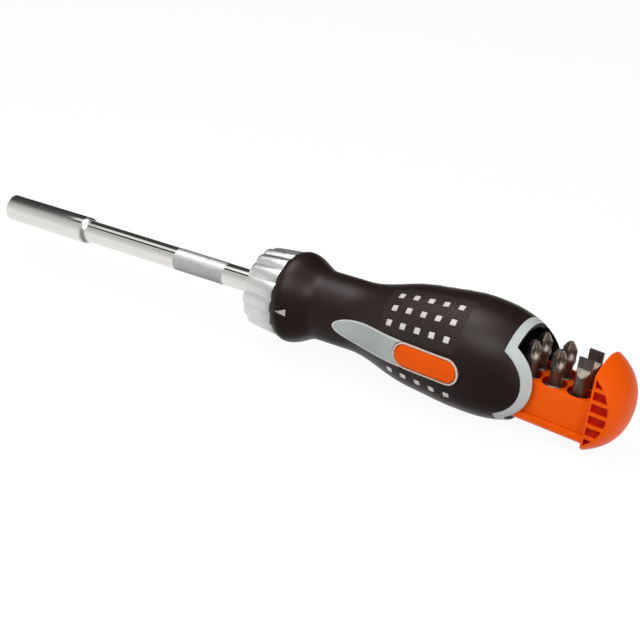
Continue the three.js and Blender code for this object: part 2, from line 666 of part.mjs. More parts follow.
function handle(washerFront) {
  const outer = gripSolid(0);
  const sleeveInner = gripSolid(SLEEVE_WALL, PAST);
  const coreOuter = gripSolid(SLEEVE_WALL + GAP);
  const plateInner = gripSolid(SLEEVE_WALL + GAP + STUD_PLATE);
  const pocketInner = gripSolid(SLEEVE_WALL + STUD_PLATE + 2 * GAP);
  const proud = gripSolid(-PROUD);
  const space = fromRear(magazineSpace());
  const behind = (from) => fromRear(block(from, far, -far, far, -far, far));
  const trimSpace = (margin) => {
    const half = trimOuter + margin;
    return fromRear(block(trimFrom - margin, far, -half, half, -far, far));
  };

  // The hard core carries the ratchet, the shaft's rear bearing and the magazine's runner.
  const spigotRadius = CARRIER_SPIGOT_DIAMETER / 2 + GAP;
  const spigotHole = disc(handleFront - PAST, handleFront + CARRIER_SPIGOT_LENGTH + GAP, spigotRadius);
  const shaftBore = disc(handleFront - PAST, washerFront + PAST, shankRadius + GAP);
  const chamberTo = belly + trayFront - MAGAZINE_TRAVEL;
  const chamber = disc(washerFront - GAP, chamberTo, CHAMBER_DIAMETER / 2);
  const buttonWell = sideBar(buttonShape(-GAP), -1, buttonInner - BUTTON_TRAVEL - GAP, far);
  const wellRadius = BUTTON_SPRING_DIAMETER / 2 + GAP;
  const springWell = atButton((x, z) => {
    const well = new THREE.CylinderGeometry(wellRadius, wellRadius, far, PIN_STEPS);
    return well.translate(x, -springSeat - far / 2, z);
  });
  const platePockets = sides.flatMap(([side]) => heights.map(([up]) => studSector(side, up, GAP)));
  const pockets = cut(join(...platePockets), pocketInner);
  const hollows = [space, behind(trimFrom - 2 * GAP), spigotHole, shaftBore, chamber];
  piece('handle_core', cut(coreOuter, ...hollows, buttonWell, springWell, pockets), blackPlastic);

  // The soft sleeve has windows for the inlays, the studs, the mark and the rear trim.
  const hollow = cut(sleeveInner, behind(trimFrom - GAP / 2));
  const sleeve = cut(outer, hollow, fromRear(betweenEars()), trimSpace(GAP));
  const studList = sides.flatMap(([side]) => heights.flatMap(([up]) => studPlaces(side, up)));
  const studHoles = studList.map((place) => stud(place, STUD_SIZE + 2 * GAP, studRoot, far));
  const inlayWindows = sides.map(([side]) => sideBar(bladeOutline(0), side, PAST, far));
  const frontHole = disc(handleFront - 2 * PAST, handleFront + CARRIER_SPIGOT_LENGTH, spigotRadius);
  piece('grip_sleeve', cut(sleeve, frontHole, ...inlayWindows, ...studHoles, markSolid(GAP)), blackRubber);

  const trimBody = cut(common(outer, trimSpace(0)), space, fromRear(betweenEars()));
  piece('rear_trim', trimBody, greyPlastic);

  sides.forEach(([side, name]) => {
    const shell = cut(outer, cut(sleeveInner, behind(trimFrom)));
    const blade = common(shell, sideBar(bladeOutline(GAP), side, PAST, far));
    const window = sideBar(buttonShape(-GAP), -1, PAST, far);
    piece(`side_inlay_${name}`, side < 0 ? cut(blade, window) : blade, greyPlastic);
    heights.forEach(([up, height]) => {
      const plate = cut(common(coreOuter, studSector(side, up, 0)), plateInner);
      const pips = studPlaces(side, up).map((place) => stud(place, STUD_SIZE, studRoot, far));
      const pipBody = cut(common(proud, join(...pips)), plateInner);
      piece(`stud_plate_${height}_${name}`, join(plate, pipBody), lightPlastic);
    });
  });

  const button = common(proud, sideBar(buttonShape(0), -1, buttonInner, far));
  piece('release_button', button, orangePlastic);
  const coil = coilGeometry(
    springSeat + GAP / 2, buttonInner - GAP / 2, BUTTON_SPRING_DIAMETER, BUTTON_SPRING_TURNS);
  piece('button_spring', atButton((x, z) => coil.rotateZ(-Math.PI / 2).translate(x, 0, z)), steel);
  piece('direction_mark', cut(common(proud, markSolid(0)), sleeveInner), lightPlastic);
}

// A solid placed at the middle of the button.
const atButton = (shape) => solid(shape(handleFront + (BUTTON_FROM + BUTTON_TO) / 2, -INLAY_DROP));

// Magazine, drawn open in its own frame

function magazine() {
  const cup = (from, to) => disc(from, to, trayRadius, ROUND_STEPS);
  const capFront = MOUTH_AT + GAP + MAGAZINE_TRAVEL; // its flat face, with the magazine open
  const trayRear = capFront - GAP;
  const body = common(cup(trayFront, trayRear),
    block(trayFront - PAST, far, -TRAY_HALF_WIDTH, TRAY_HALF_WIDTH, -far, TRAY_TOP));
  const ledgeHalf = TRAY_HALF_WIDTH + TRAY_LEDGE;
  const ledge = common(cup(trayFront, trayRear),
    block(trayFront - PAST, far, -ledgeHalf, ledgeHalf, -far, TRAY_LEDGE_TOP));
  const tail = common(disc(tailFront, trayFront + PAST, boreRadius - TRAY_TAIL_STEP - GAP, ROUND_STEPS),
    block(tailFront - PAST, far, -TRAY_HALF_WIDTH, TRAY_HALF_WIDTH, -far, TRAY_TAIL_TOP));
  const places = [];
  for (let column = 0; column < BIT_COLUMNS; column += 1) {
    [-1, 1].forEach((row) => {
      const x = bitsOpen - (BIT_COLUMNS - 1 - column) * BIT_PITCH;
      places.push({ x, y: row * BIT_ROW_HALF, tip: BIT_TIPS[column % BIT_TIPS.length] });
    });
  }
  const pockets = places.map(({ x, y }) => {
    const corners = hexOutline(HEX_ACROSS_FLATS + BIT_POCKET_PLAY);
    const shape = new THREE.Shape(corners.map(([a, b]) => new THREE.Vector2(a, b)));
    const geometry = new THREE.ExtrudeGeometry(shape, { depth: far, bevelEnabled: false });
    return solid(geometry.translate(x, y, -BIT_SEAT_DEPTH));
  });
  const wells = places.map(({ x, y }) => {
    const well = new THREE.CylinderGeometry(WELL_DIAMETER / 2, WELL_DIAMETER / 2, far, SHAFT_STEPS);
    return solid(well.rotateX(Math.PI / 2).translate(x, y, TRAY_TOP - WELL_DEPTH + far / 2));
  });
  const tray = cut(join(body, ledge, tail), ...wells, ...pockets);
  piece('magazine_tray', tray, orangePlastic, rear);

  const capHalf = EAR_INNER - GAP;
  const capFrom = MOUTH_AT + GAP;
  const closedCap = common(endSolid(0), block(capFrom, far, -capHalf, capHalf, -far, far));
  const capPitch = (2 * Math.sqrt(endRadius(MOUTH_AT) ** 2 - EAR_INNER ** 2)) / CAP_POCKETS;
  const slotHalf = (capPitch - CAP_RIB) / 2;
  const slots = [];
  for (let i = 0; i < CAP_POCKETS; i += 1) {
    const middle = (i - (CAP_POCKETS - 1) / 2) * capPitch;
    [-1, 1].forEach((side) => {
      const faces = [side * (capHalf + PAST), side * (capHalf - CAP_POCKET_DEPTH)];
      slots.push(block(capFrom + CAP_POCKET_MARGIN, far, Math.min(...faces), Math.max(...faces),
        middle - slotHalf, middle + slotHalf));
    });
  }
  const slotSpace = common(join(...slots), endSolid(CAP_POCKET_MARGIN));
  piece('magazine_cap', cut(closedCap, slotSpace).translate([MAGAZINE_TRAVEL, 0, 0]), orangePlastic, rear);

  places.forEach(({ x, y, tip }, i) => {
    const standing = standingBit(tip).translate([x, y, -BIT_SEAT_DEPTH + GAP]);
    piece(`bit_${i + 1}`, standing, darkSteel, rear);
  });
}

// The rounded end alone, in the magazine's frame.
const endSolid = (inset) => turned(endOutline(inset), ROUND_STEPS);

// A screwdriver bit standing on its rear end: hex body, neck, and a flat or cross tip.
function standingBit(tip) {
  const hexRadius = HEX_ACROSS_FLATS / Math.sqrt(3);
  const neckTo = BIT_HEX_LENGTH + BIT_NECK_LENGTH;
  const pointFrom = BIT_LENGTH - BIT_POINT_LENGTH;
  const headRadius = BIT_HEAD_DIAMETER / 2;
  const neckRadius = tip === 'flat' ? headRadius : BIT_NECK_DIAMETER / 2;
  const tipRadius = tip === 'flat' ? headRadius : BIT_TIP_DIAMETER / 2;
  const round = turned([
    [0, hexRadius - BIT_CHAMFER], [BIT_CHAMFER, hexRadius],
    [BIT_HEX_LENGTH - BIT_SHOULDER, hexRadius], [BIT_HEX_LENGTH, neckRadius],
    [neckTo, neckRadius], [neckTo + BIT_HEAD_TAPER, headRadius],
    [pointFrom, headRadius], [BIT_LENGTH, tipRadius],
  ], BIT_STEPS);
  const hex = bar(hexOutline(HEX_ACROSS_FLATS, 30), -PAST, BIT_LENGTH + PAST);
  const bladeHalf = BIT_BLADE_THICKNESS / 2;
  const wingHalf = BIT_WING_WIDTH / 2;
  const cheek = block(BIT_LENGTH - BIT_BLADE_LENGTH, far, bladeHalf, far, -far, far);
  const flute = block(BIT_LENGTH - BIT_FLUTE_LENGTH, far, wingHalf, far, wingHalf, far);
  const [ground, turns] = tip === 'flat' ? [cheek, [0, 180]] : [flute, [0, 90, 180, 270]];
  const body = cut(common(round, hex), ...turns.map((turn) => ground.rotate([turn, 0, 0])));
  return solid(geometryOf(body).rotateY(-Math.PI / 2));
}

const washerFront = driveShaft();
selectorCollar();
ratchet();
pawlCarrier();
handle(washerFront);
magazine();

export default tool;
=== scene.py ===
"""The looks of a ratchet screwdriver with a pull-out bit magazine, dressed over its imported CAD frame.

Shapes are worked out in millimetres in the CAD frame: the bit end points to -X, the magazine opens to +X,
the stored bits stand up along +Z and the release button faces -Y.
"""
import json
import math

import bmesh
import bpy
from mathutils import Matrix, Vector

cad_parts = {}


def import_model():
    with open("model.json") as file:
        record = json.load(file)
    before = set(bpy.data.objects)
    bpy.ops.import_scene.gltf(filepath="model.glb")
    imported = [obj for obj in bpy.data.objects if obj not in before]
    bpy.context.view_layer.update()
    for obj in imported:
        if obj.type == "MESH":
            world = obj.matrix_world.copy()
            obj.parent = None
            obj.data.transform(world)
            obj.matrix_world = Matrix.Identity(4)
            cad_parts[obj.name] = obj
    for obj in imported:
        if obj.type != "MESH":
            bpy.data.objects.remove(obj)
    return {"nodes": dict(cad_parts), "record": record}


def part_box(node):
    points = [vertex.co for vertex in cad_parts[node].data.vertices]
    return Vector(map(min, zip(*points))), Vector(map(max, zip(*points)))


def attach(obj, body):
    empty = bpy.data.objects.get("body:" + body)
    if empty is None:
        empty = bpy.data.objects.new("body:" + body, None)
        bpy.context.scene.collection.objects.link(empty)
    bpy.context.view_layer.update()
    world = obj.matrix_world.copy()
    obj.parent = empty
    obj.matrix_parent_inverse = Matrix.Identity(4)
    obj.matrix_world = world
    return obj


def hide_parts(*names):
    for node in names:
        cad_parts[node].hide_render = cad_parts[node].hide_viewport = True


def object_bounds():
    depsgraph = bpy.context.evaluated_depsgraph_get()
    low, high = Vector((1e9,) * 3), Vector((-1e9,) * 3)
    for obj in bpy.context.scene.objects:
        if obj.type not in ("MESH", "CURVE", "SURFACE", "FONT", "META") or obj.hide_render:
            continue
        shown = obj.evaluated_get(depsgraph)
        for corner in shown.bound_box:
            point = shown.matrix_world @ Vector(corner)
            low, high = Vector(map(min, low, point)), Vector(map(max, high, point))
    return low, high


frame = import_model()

CAD_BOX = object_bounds()
MM = 0.001
FAR = 200.0  # past everything, for cutting tools


def low(node):
    """Lowest corner of a CAD node in millimetres."""
    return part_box(node)[0] / MM


def high(node):
    """Highest corner of a CAD node in millimetres."""
    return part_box(node)[1] / MM


# Sizes of the drive
SOCKET_TIP = low("bit_socket").x
SOCKET_REAR = high("bit_socket").x
SOCKET_FLOOR = -0.05  # just in front of the magnet
SOCKET_RADIUS = 4.9
SOCKET_CHAMFER = 0.7
SOCKET_LIP = 0.05  # bevel round the mouth
SOCKET_LEAD_IN = 0.5
SOCKET_SHOULDER = 2.4
SOCKET_MOUTH_FLAT = 6.55  # across the hex hole's flats
SHANK_RADIUS = 4.0
SHANK_PLAY = 0.02  # behind the socket
SHAFT_SIDES = 96
KNURL_FROM = 67.1
KNURL_TO = 88.8
KNURL_DEPTH = 0.08
KNURL_CREST = 0.4  # share of the depth outside the shank
KNURL_FADE = 0.8
KNURL_STARTS = 40
KNURL_ROWS = 130
KNURL_SIDES = 320
COLLAR_FRONT = low("selector_collar").x
COLLAR_REAR = high("selector_collar").x
COLLAR_FRONT_RADIUS = 13.9
COLLAR_REAR_RADIUS = 15.1
COLLAR_ROUND = 1.3
COLLAR_REAR_EDGE = 0.6
COLLAR_REAR_DROPS = (0.1, 0.5)  # of the radius over that edge
COLLAR_ROWS = (4.0, 8.0)  # of vertices, behind its front
COLLAR_LOBES = 16
COLLAR_LOBE_SIDES = 16
COLLAR_LOBE_DEPTH = 0.7
COLLAR_BORE = 5.9
COLLAR_BORE_CHAMFER = 0.3
COLLAR_CAVITY = 11.7
COLLAR_WALL = 2.6

# Sizes of the grip
HANDLE_FRONT = low("handle_core").x
FLANGE_FRONT_DIAMETER = 30.4
FLANGE_DIAMETER = 31.5
FLANGE_CREST_AT = 1.9
NECK_DIAMETER = 23.8
NECK_FROM = 13.2
NECK_TO = 25.8
SHOULDER_DIAMETER = 34.2
SHOULDER_AT = 52.8
BELLY_FROM = 46.8
BELLY_DIAMETER = 37.9
BELLY_AT = 69.8
END_LENGTH = 27.5
END_FULLNESS = 2.4
BELLY = HANDLE_FRONT + BELLY_AT
REAR_TILT = math.radians(4)
MOUTH_AT = 17.2
EAR_INNER = 10.5
TRIM_WIDTH = 2.7
MOUTH_WALL = 1.35
SLEEVE_WALL = 1.0
GAP = 0.3  # between neighbouring CAD solids
SEAM = 0.1  # between flush mouldings
PAST = 1.0  # by which a cut or a joint overshoots
PROUD = 0.15  # by which studs, mark and button stand above the grip
GRIP_STEP = 0.75
GRIP_SIDES = 144
END_ROWS = 40

# Sizes of what is set into the grip
INLAY_FROM = HANDLE_FRONT + 22.3
INLAY_TO = HANDLE_FRONT + 73.2
INLAY_HALF_WIDTH = 4.6
INLAY_NOSE = 17.0
INLAY_DROP = 0.45
INLAY_BORDER = 0.65
INLAY_SINK = 0.18  # of the panel below its border
INLAY_BEVEL = 0.12
INLAY_LIFT = 0.02
BUTTON_FROM = HANDLE_FRONT + 49.2
BUTTON_TO = HANDLE_FRONT + 72.1
BUTTON_HALF_WIDTH = 3.7
BUTTON_TRAVEL = 1.5
BUTTON_EDGE = ((0.0, -0.12), (0.1, 0.04), (0.3, 0.13))  # inwards, above the grip
BUTTON_TOP_ROWS = (0.7, 1.4, 2.2, 3.0, 3.6)  # inwards
BEZEL = INLAY_HALF_WIDTH - BUTTON_HALF_WIDTH - GAP
BEZEL_SEAM = 0.3  # between the button's rim and the inlay's border
BEZEL_BEVEL = 0.1
BEZEL_LIFT = 0.04
STUD_SIZE = 2.1
STUD_COLUMNS = 5
STUD_FIRST_AT = HANDLE_FRONT + 44.7
STUD_PITCH = 5.48
STUD_ROWS = {1: 3, -1: 1}  # above and below the inlay
STUD_FIRST_ANGLE = 29.0
STUD_ROW_ANGLE = 18.3
STUD_LOWER_SHIFT = 1.8
STUD_DEPTH = 1.8
STUD_CORNER = 0.28  # share of its half size
STUD_EDGE = ((1.0, -0.1), (0.93, 0.03), (0.8, PROUD * 0.8), (0.6, PROUD), (0.25, PROUD))  # scale, height
MARK_FROM = HANDLE_FRONT + 2.4
MARK_LENGTH = 3.4
MARK_WIDTH = 2.4
MARK_STEPS = 8

# Sizes of the magazine, along its own drooping axis from the belly
TRAVEL = 25.5
CAP_FRONT = MOUTH_AT + GAP + TRAVEL
CAP_HALF = EAR_INNER - GAP
CAP_POCKETS = 6
CAP_RIB = 1.3
CAP_POCKET_DEPTH = 1.4
CAP_POCKET_MARGIN = 0.7
CAP_POCKET_RIM = 0.91  # along the round edge
CAP_POCKET_LEAST = 0.05
CAP_POCKET_ROWS = 10
CAP_EDGE = 0.35
TRAY_FRONT = 15.2
TRAY_RADIUS = 14.4
TRAY_TOP = 2.2
TRAY_HALF_WIDTH = 8.9
TRAY_LEDGE = 0.9
TRAY_LEDGE_TOP = -8.6
TRAY_EDGE = 0.35  # rounding of its top edges
TRAY_TAIL_LENGTH = 10.0
TRAY_TAIL_RADIUS = 11.4
TRAY_TAIL_TOP = -2.0
TRAY_TAIL_STEP = 0.05  # in from the tray's sides
WELL_RADIUS = 4.0
WELL_DEPTH = 2.8
WELL_SIDES = 48
BIT_COLUMNS = 3
BIT_PITCH = 8.5
BIT_LAST_AT = CAP_FRONT - 5.8
BIT_ROW_HALF = 3.85
BIT_SEAT = -11.5
BIT_FLAT = 6.35
BIT_POCKET_PLAY = 0.45
BIT_LENGTH = 25.0
BIT_TIPS = ("cross", "cross", "flat")
BIT_CORNER = BIT_FLAT / math.sqrt(3)
BIT_HEAD = 2.4
BIT_SHANK = ((0.0, BIT_CORNER - 0.6), (0.6, BIT_CORNER), (11.6, BIT_CORNER))  # height, radius
BIT_PROFILES = {
    "cross": BIT_SHANK + (
        (12.4, BIT_CORNER - 0.9), (13.2, 2.0), (14.0, 1.95), (17.2, 1.95), (18.2, BIT_HEAD),
        (22.8, BIT_HEAD), (24.2, 1.5), (BIT_LENGTH, 0.9)),
    "flat": BIT_SHANK + ((13.2, BIT_HEAD), (BIT_LENGTH, BIT_HEAD)),
}
BIT_SIDES = 72
GRIND_ROWS_FROM = 18.5
GRIND_ROW = 0.4
GRIND_FROM = 19.4
GRIND_LENGTH = 2.2
FLUTE_DEPTH = 0.55  # share of the radius
BLADE_ROOT = 2.3  # half thickness before and after the grind
BLADE_TIP = 0.55


# Shapes of the grip

def blend(t):
    """A smooth rise from 0 to 1."""
    t = min(max(t, 0.0), 1.0)
    return (1 - math.cos(math.pi * t)) / 2


def grip_radius(at):
    """Radius of the grip at a length behind its front face, as far as the belly."""
    if at < FLANGE_CREST_AT:
        rise = math.sin(math.pi / 2 * at / FLANGE_CREST_AT)
        return (FLANGE_FRONT_DIAMETER + (FLANGE_DIAMETER - FLANGE_FRONT_DIAMETER) * rise) / 2
    fall = blend((at - FLANGE_CREST_AT) / (NECK_FROM - FLANGE_CREST_AT))
    rise = blend((at - NECK_TO) / (SHOULDER_AT - NECK_TO))
    swell = blend((at - BELLY_FROM) / (BELLY_AT - BELLY_FROM))
    diameter = FLANGE_DIAMETER + (NECK_DIAMETER - FLANGE_DIAMETER) * fall
    diameter += (SHOULDER_DIAMETER - NECK_DIAMETER) * rise + (BELLY_DIAMETER - SHOULDER_DIAMETER) * swell
    return diameter / 2


def end_radius(at):
    """Radius of the rounded end at a length behind the belly."""
    share = max(1 - (at / END_LENGTH) ** END_FULLNESS, 0)
    return share ** (1 / END_FULLNESS) * BELLY_DIAMETER / 2


def from_rear(point):
    """A point of the magazine's drooping frame in the tool's frame."""
    x, y, z = point
    along = x * math.cos(REAR_TILT) + z * math.sin(REAR_TILT)
    up = z * math.cos(REAR_TILT) - x * math.sin(REAR_TILT)
    return (BELLY + along, y, up)


def end_profile(inset=0.0, until=END_LENGTH):
    """Points (length behind the belly, radius) of the rounded end, less inset, cut square at until."""
    rows = []
    for i in range(END_ROWS + 1):
        at = END_LENGTH * math.sin(math.pi / 2 * i / END_ROWS)
        along = at * (1 - inset / END_LENGTH)
        if along > until:
            break
        rows.append((along, end_radius(at) * (1 - 2 * inset / BELLY_DIAMETER)))
    if until < END_LENGTH:
        rows.append((until, end_radius(until) - inset))
    return rows


def grip_profile(inset=0.0, forward=0.0, until=END_LENGTH):
    """Points (x, radius) of the whole grip before its end droops."""
    steps = math.ceil(BELLY_AT / GRIP_STEP)
    rows = [(HANDLE_FRONT - forward, grip_radius(0) - inset)] if forward else []
    for i in range(steps):
        at = BELLY_AT * i / steps
        rows.append((HANDLE_FRONT + at, grip_radius(at) - inset))
    return rows + [(BELLY + at, radius) for at, radius in end_profile(inset, until)]


def drooped(vertices):
    """Turns what lies behind the belly down along the magazine's path."""
    return [from_rear((x - BELLY, y, z)) if x > BELLY else (x, y, z) for x, y, z in vertices]


def side_depth(x, z, lift):
    """Distance from the tool's middle plane to the grip's surface, raised by lift, at x and z."""
    if x <= BELLY:
        return math.sqrt((grip_radius(x - HANDLE_FRONT) + lift) ** 2 - z * z)
    dropped = z + (x - BELLY) * math.tan(REAR_TILT)
    return math.sqrt((end_radius(x - BELLY) + lift) ** 2 - dropped * dropped)


# Mesh making

def build(name, vertices, faces, material=None):
    """A new mesh object from vertices in millimetres, with its faces turned outwards."""
    mesh = bpy.data.meshes.new(name)
    mesh.from_pydata([tuple(MM * c for c in v) for v in vertices], [], faces)
    made = bmesh.new()
    made.from_mesh(mesh)
    bmesh.ops.recalc_face_normals(made, faces=made.faces)
    made.to_mesh(mesh)
    made.free()
    if material:
        mesh.materials.append(material)
    piece = bpy.data.objects.new(name, mesh)
    bpy.context.scene.collection.objects.link(piece)
    return piece


def bands(rings, closed_ends=True):
    """Faces that join rings of equal size one after another, with a face on the first and the last ring."""
    size = len(rings[0])
    vertices = [point for ring in rings for point in ring]
    faces = []
    for row in range(len(rings) - 1):
        for i in range(size):
            j = (i + 1) % size
            faces.append((row * size + i, row * size + j, (row + 1) * size + j, (row + 1) * size + i))
    if closed_ends:
        faces.append(tuple(range(size)))
        faces.append(tuple(range((len(rings) - 1) * size, len(rings) * size)))
    return vertices, faces


def ring(x, radius, sides):
    """A ring about X; radius is a number or a function of the angle from +Y."""
    angles = [2 * math.pi * i / sides for i in range(sides)]
    sizes = [radius(a) if callable(radius) else radius for a in angles]
    return [(x, r * math.cos(a), r * math.sin(a)) for a, r in zip(angles, sizes)]


def quarter(steps):
    """Angles from 0 to a quarter turn."""
    return [math.pi / 2 * i / steps for i in range(steps + 1)]


def turned(profile, sides):
    """Vertices and faces of a closed body of revolution from (x, radius) points."""
    least = 1e-3
    sized = [(x, r if callable(r) else max(r, least)) for x, r in profile]
    return bands([ring(x, r, sides) for x, r in sized])


def prism(outline, low_end, high_end, place):
    """An outline of (a, b) points swept from low_end to high_end; place(a, b, c) gives each vertex."""
    return bands([[place(a, b, c) for a, b in outline] for c in (low_end, high_end)])


def box(from_x, to_x, from_y, to_y, from_z, to_z):
    corners = [(from_y, from_z), (to_y, from_z), (to_y, to_z), (from_y, to_z)]
    return prism(corners, from_x, to_x, lambda y, z, x: (x, y, z))


def joined(*meshes):
    """Several (vertices, faces) pairs as one."""
    vertices, faces = [], []
    for points, polygons in meshes:
        start = len(vertices)
        vertices.extend(points)
        faces.extend(tuple(start + i for i in polygon) for polygon in polygons)
    return vertices, faces


def in_rear(mesh):
    """A (vertices, faces) pair moved from the magazine's frame to the tool's."""
    vertices, faces = mesh
    return [from_rear(v) for v in vertices], faces


def boolean(piece, operation, mesh, material=None):
    """Cuts a piece by another mesh, joins them or keeps what they share.

    New faces take the other's material.
    """
    other = build("cutter", *mesh, material)
    modifier = piece.modifiers.new("boolean", "BOOLEAN")
    modifier.operation = operation
    modifier.solver = "EXACT"
    modifier.material_mode = "TRANSFER" if material else "INDEX"
    modifier.object = other
    apply_modifiers(piece)
    bpy.data.objects.remove(other)


def apply_modifiers(piece):
    graph = bpy.context.evaluated_depsgraph_get()
    result = bpy.data.meshes.new_from_object(piece.evaluated_get(graph))
    old = piece.data
    piece.modifiers.clear()
    piece.data = result
    bpy.data.meshes.remove(old)


def soften(piece, width):
    """Rounds the sharp edges of a piece by width in millimetres."""
    modifier = piece.modifiers.new("rounding", "BEVEL")
    modifier.width = width * MM
    modifier.segments = 2
    modifier.limit_method = "ANGLE"
    modifier.angle_limit = math.radians(40)
    modifier.harden_normals = True
    modifier.use_clamp_overlap = True
    apply_modifiers(piece)


def settle(piece, body, slot, *nodes, sharp=35):
    """Smooth shading up to an angle, and the piece's place in the frame."""
    mesh = piece.data
    mesh.polygons.foreach_set("use_smooth", [True] * len(mesh.polygons))
    mesh.set_sharp_from_angle(angle=math.radians(sharp))
    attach(piece, body)
    if nodes:
        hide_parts(*nodes)


# Materials

def linear(code):
    """A colour written as six hex digits, in linear light."""
    channels = [int(code[i:i + 2], 16) / 255 for i in (0, 2, 4)]
    return tuple(c / 12.92 if c <= 0.04045 else ((c + 0.055) / 1.055) ** 2.4 for c in channels) + (1.0,)


PLASTIC_SPECULAR = 0.1  # matt mouldings
RUBBER_SPECULAR = 0.26


class Surface:
    """A material's node tree with short calls for what the surfaces here need."""

    def __init__(self, name):
        self.material = bpy.data.materials.new(name)
        self.material.use_nodes = True
        self.tree = self.material.node_tree
        self.shader = self.tree.nodes["Principled BSDF"]
        self.place = self.add("ShaderNodeTexCoord").outputs["Object"]

    def add(self, kind, **values):
        node = self.tree.nodes.new(kind)
        for key, value in values.items():
            self.put(node, key.replace("_", " ").title(), value)
        return node

    def put(self, node, socket, value):
        if isinstance(value, bpy.types.NodeSocket):
            self.tree.links.new(value, node.inputs[socket])
        else:
            node.inputs[socket].default_value = value

    def set(self, **values):
        for key, value in values.items():
            self.put(self.shader, key.replace("_", " ").title(), value)

    def math(self, operation, first, second=0.0):
        node = self.tree.nodes.new("ShaderNodeMath")
        node.operation = operation
        for index, value in enumerate((first, second)):
            self.put(node, index, value)
        return node.outputs[0]

    def noise(self, scale, detail=3.0, stretch=(1, 1, 1)):
        scaled = self.add("ShaderNodeMapping", vector=self.place)
        scaled.inputs["Scale"].default_value = stretch
        noise = self.add("ShaderNodeTexNoise", vector=scaled.outputs[0], scale=scale, detail=detail)
        return noise.outputs["Fac"]

    def between(self, factor, low_value, high_value):
        node = self.add("ShaderNodeMapRange", value=factor)
        node.inputs["To Min"].default_value = low_value
        node.inputs["To Max"].default_value = high_value
        return node.outputs[0]

    def step(self, value, start, end):
        """A smooth step from 0 at start to 1 at end."""
        node = self.add("ShaderNodeMapRange", value=value)
        node.interpolation_type = "SMOOTHSTEP"
        node.inputs["From Min"].default_value = start
        node.inputs["From Max"].default_value = end
        return node.outputs[0]

    def colours(self, factor, first, second, start=0.3, end=0.7):
        ramp = self.add("ShaderNodeValToRGB", fac=factor)
        ramp.color_ramp.elements[0].position = start
        ramp.color_ramp.elements[1].position = end
        ramp.color_ramp.elements[0].color = linear(first)
        ramp.color_ramp.elements[1].color = linear(second)
        return ramp.outputs["Color"]

    def bump(self, height, depth):
        """Normals from a height between 0 and 1 that stands for a depth in millimetres."""
        node = self.add("ShaderNodeBump", height=height, strength=1.0, distance=depth * MM)
        self.set(normal=node.outputs[0])


def moulded(name, first, second, roughness, specular=PLASTIC_SPECULAR):
    """Moulded plastic: a faint cloudiness in colour and gloss, and a fine spark-eroded grain."""
    grain_depth, coarse, fine = 0.02, 60.0, 2600.0
    surface = Surface(name)
    cloud = surface.noise(coarse)
    surface.set(base_color=surface.colours(cloud, first, second))
    surface.set(roughness=surface.between(surface.noise(coarse * 4), roughness - 0.05, roughness + 0.06))
    surface.shader.inputs["Specular IOR Level"].default_value = specular
    surface.bump(surface.noise(fine, 2.0), grain_depth)
    return surface.material


def metal(name, first, second, low_rough, high_rough, stretch=(1, 1, 1), scale=900.0, depth=0.004):
    """Bare or plated metal with faint tool marks."""
    surface = Surface(name)
    marks = surface.noise(scale, 4.0, stretch)
    surface.set(metallic=1.0, base_color=surface.colours(marks, first, second))
    surface.set(roughness=surface.between(surface.noise(120.0), low_rough, high_rough))
    surface.bump(marks, depth)
    return surface.material


def soft_grip():
    """Satin elastomer, with a moulded mesh of fine lines round the studs."""
    surface = Surface("soft_grip")
    x, y, z = [surface.add("ShaderNodeSeparateXYZ", vector=surface.place).outputs[i] for i in range(3)]
    flank = surface.math("ABSOLUTE", y)
    angle = surface.math("ARCTAN2", z, flank)
    line_pitch, line_radius = 0.95, 18.0
    line_core, line_edge = 0.04, 0.2  # shares of the pitch
    grain_height, ground_height, groove_depth = 0.09, 0.8, 0.3
    cloud_shade, pad_shade = 0.08, 0.3
    rows = surface.math("PINGPONG", surface.math("MULTIPLY", angle, line_radius / line_pitch), 0.5)
    columns = surface.math("PINGPONG", surface.math("MULTIPLY", x, 1 / (line_pitch * MM)), 0.5)
    lines = surface.math("MINIMUM", rows, columns)
    cells = surface.step(lines, line_core, line_edge)
    span = STUD_PITCH * (STUD_COLUMNS - 1)
    middle = (STUD_FIRST_AT + span / 2) * MM
    off_x = surface.math("ABSOLUTE", surface.math("SUBTRACT", x, middle))
    turn = math.radians(STUD_FIRST_ANGLE + STUD_ROW_ANGLE * (STUD_ROWS[1] - 1) / 2)
    off_angle = surface.math("ABSOLUTE", surface.math("SUBTRACT", angle, turn))
    fade, margin_angle = 2.5, 6
    reach_x = (span / 2 + STUD_SIZE) * MM
    reach_angle = math.radians(STUD_ROW_ANGLE * (STUD_ROWS[1] - 1) / 2 + margin_angle)
    inside = surface.math("MULTIPLY",
                          surface.step(off_x, reach_x + fade * MM, reach_x),
                          surface.step(off_angle, reach_angle + fade / line_radius, reach_angle))
    groove = surface.math("MULTIPLY", inside, surface.math("SUBTRACT", 1.0, cells))
    grain = surface.math("MULTIPLY", surface.noise(2400.0, 2.0), grain_height)
    height = surface.math("SUBTRACT", surface.math("ADD", grain, ground_height), groove)
    pads = surface.math("MULTIPLY", surface.math("MULTIPLY", inside, cells), pad_shade)
    shade = surface.math("ADD", surface.math("MULTIPLY", surface.noise(45.0), cloud_shade), pads)
    surface.set(base_color=surface.colours(shade, "160603", "4c3f3a", 0.0, 1.0))
    surface.set(roughness=surface.between(surface.noise(160.0), 0.37, 0.44))
    surface.shader.inputs["Specular IOR Level"].default_value = RUBBER_SPECULAR
    surface.bump(height, groove_depth)
    return surface.material


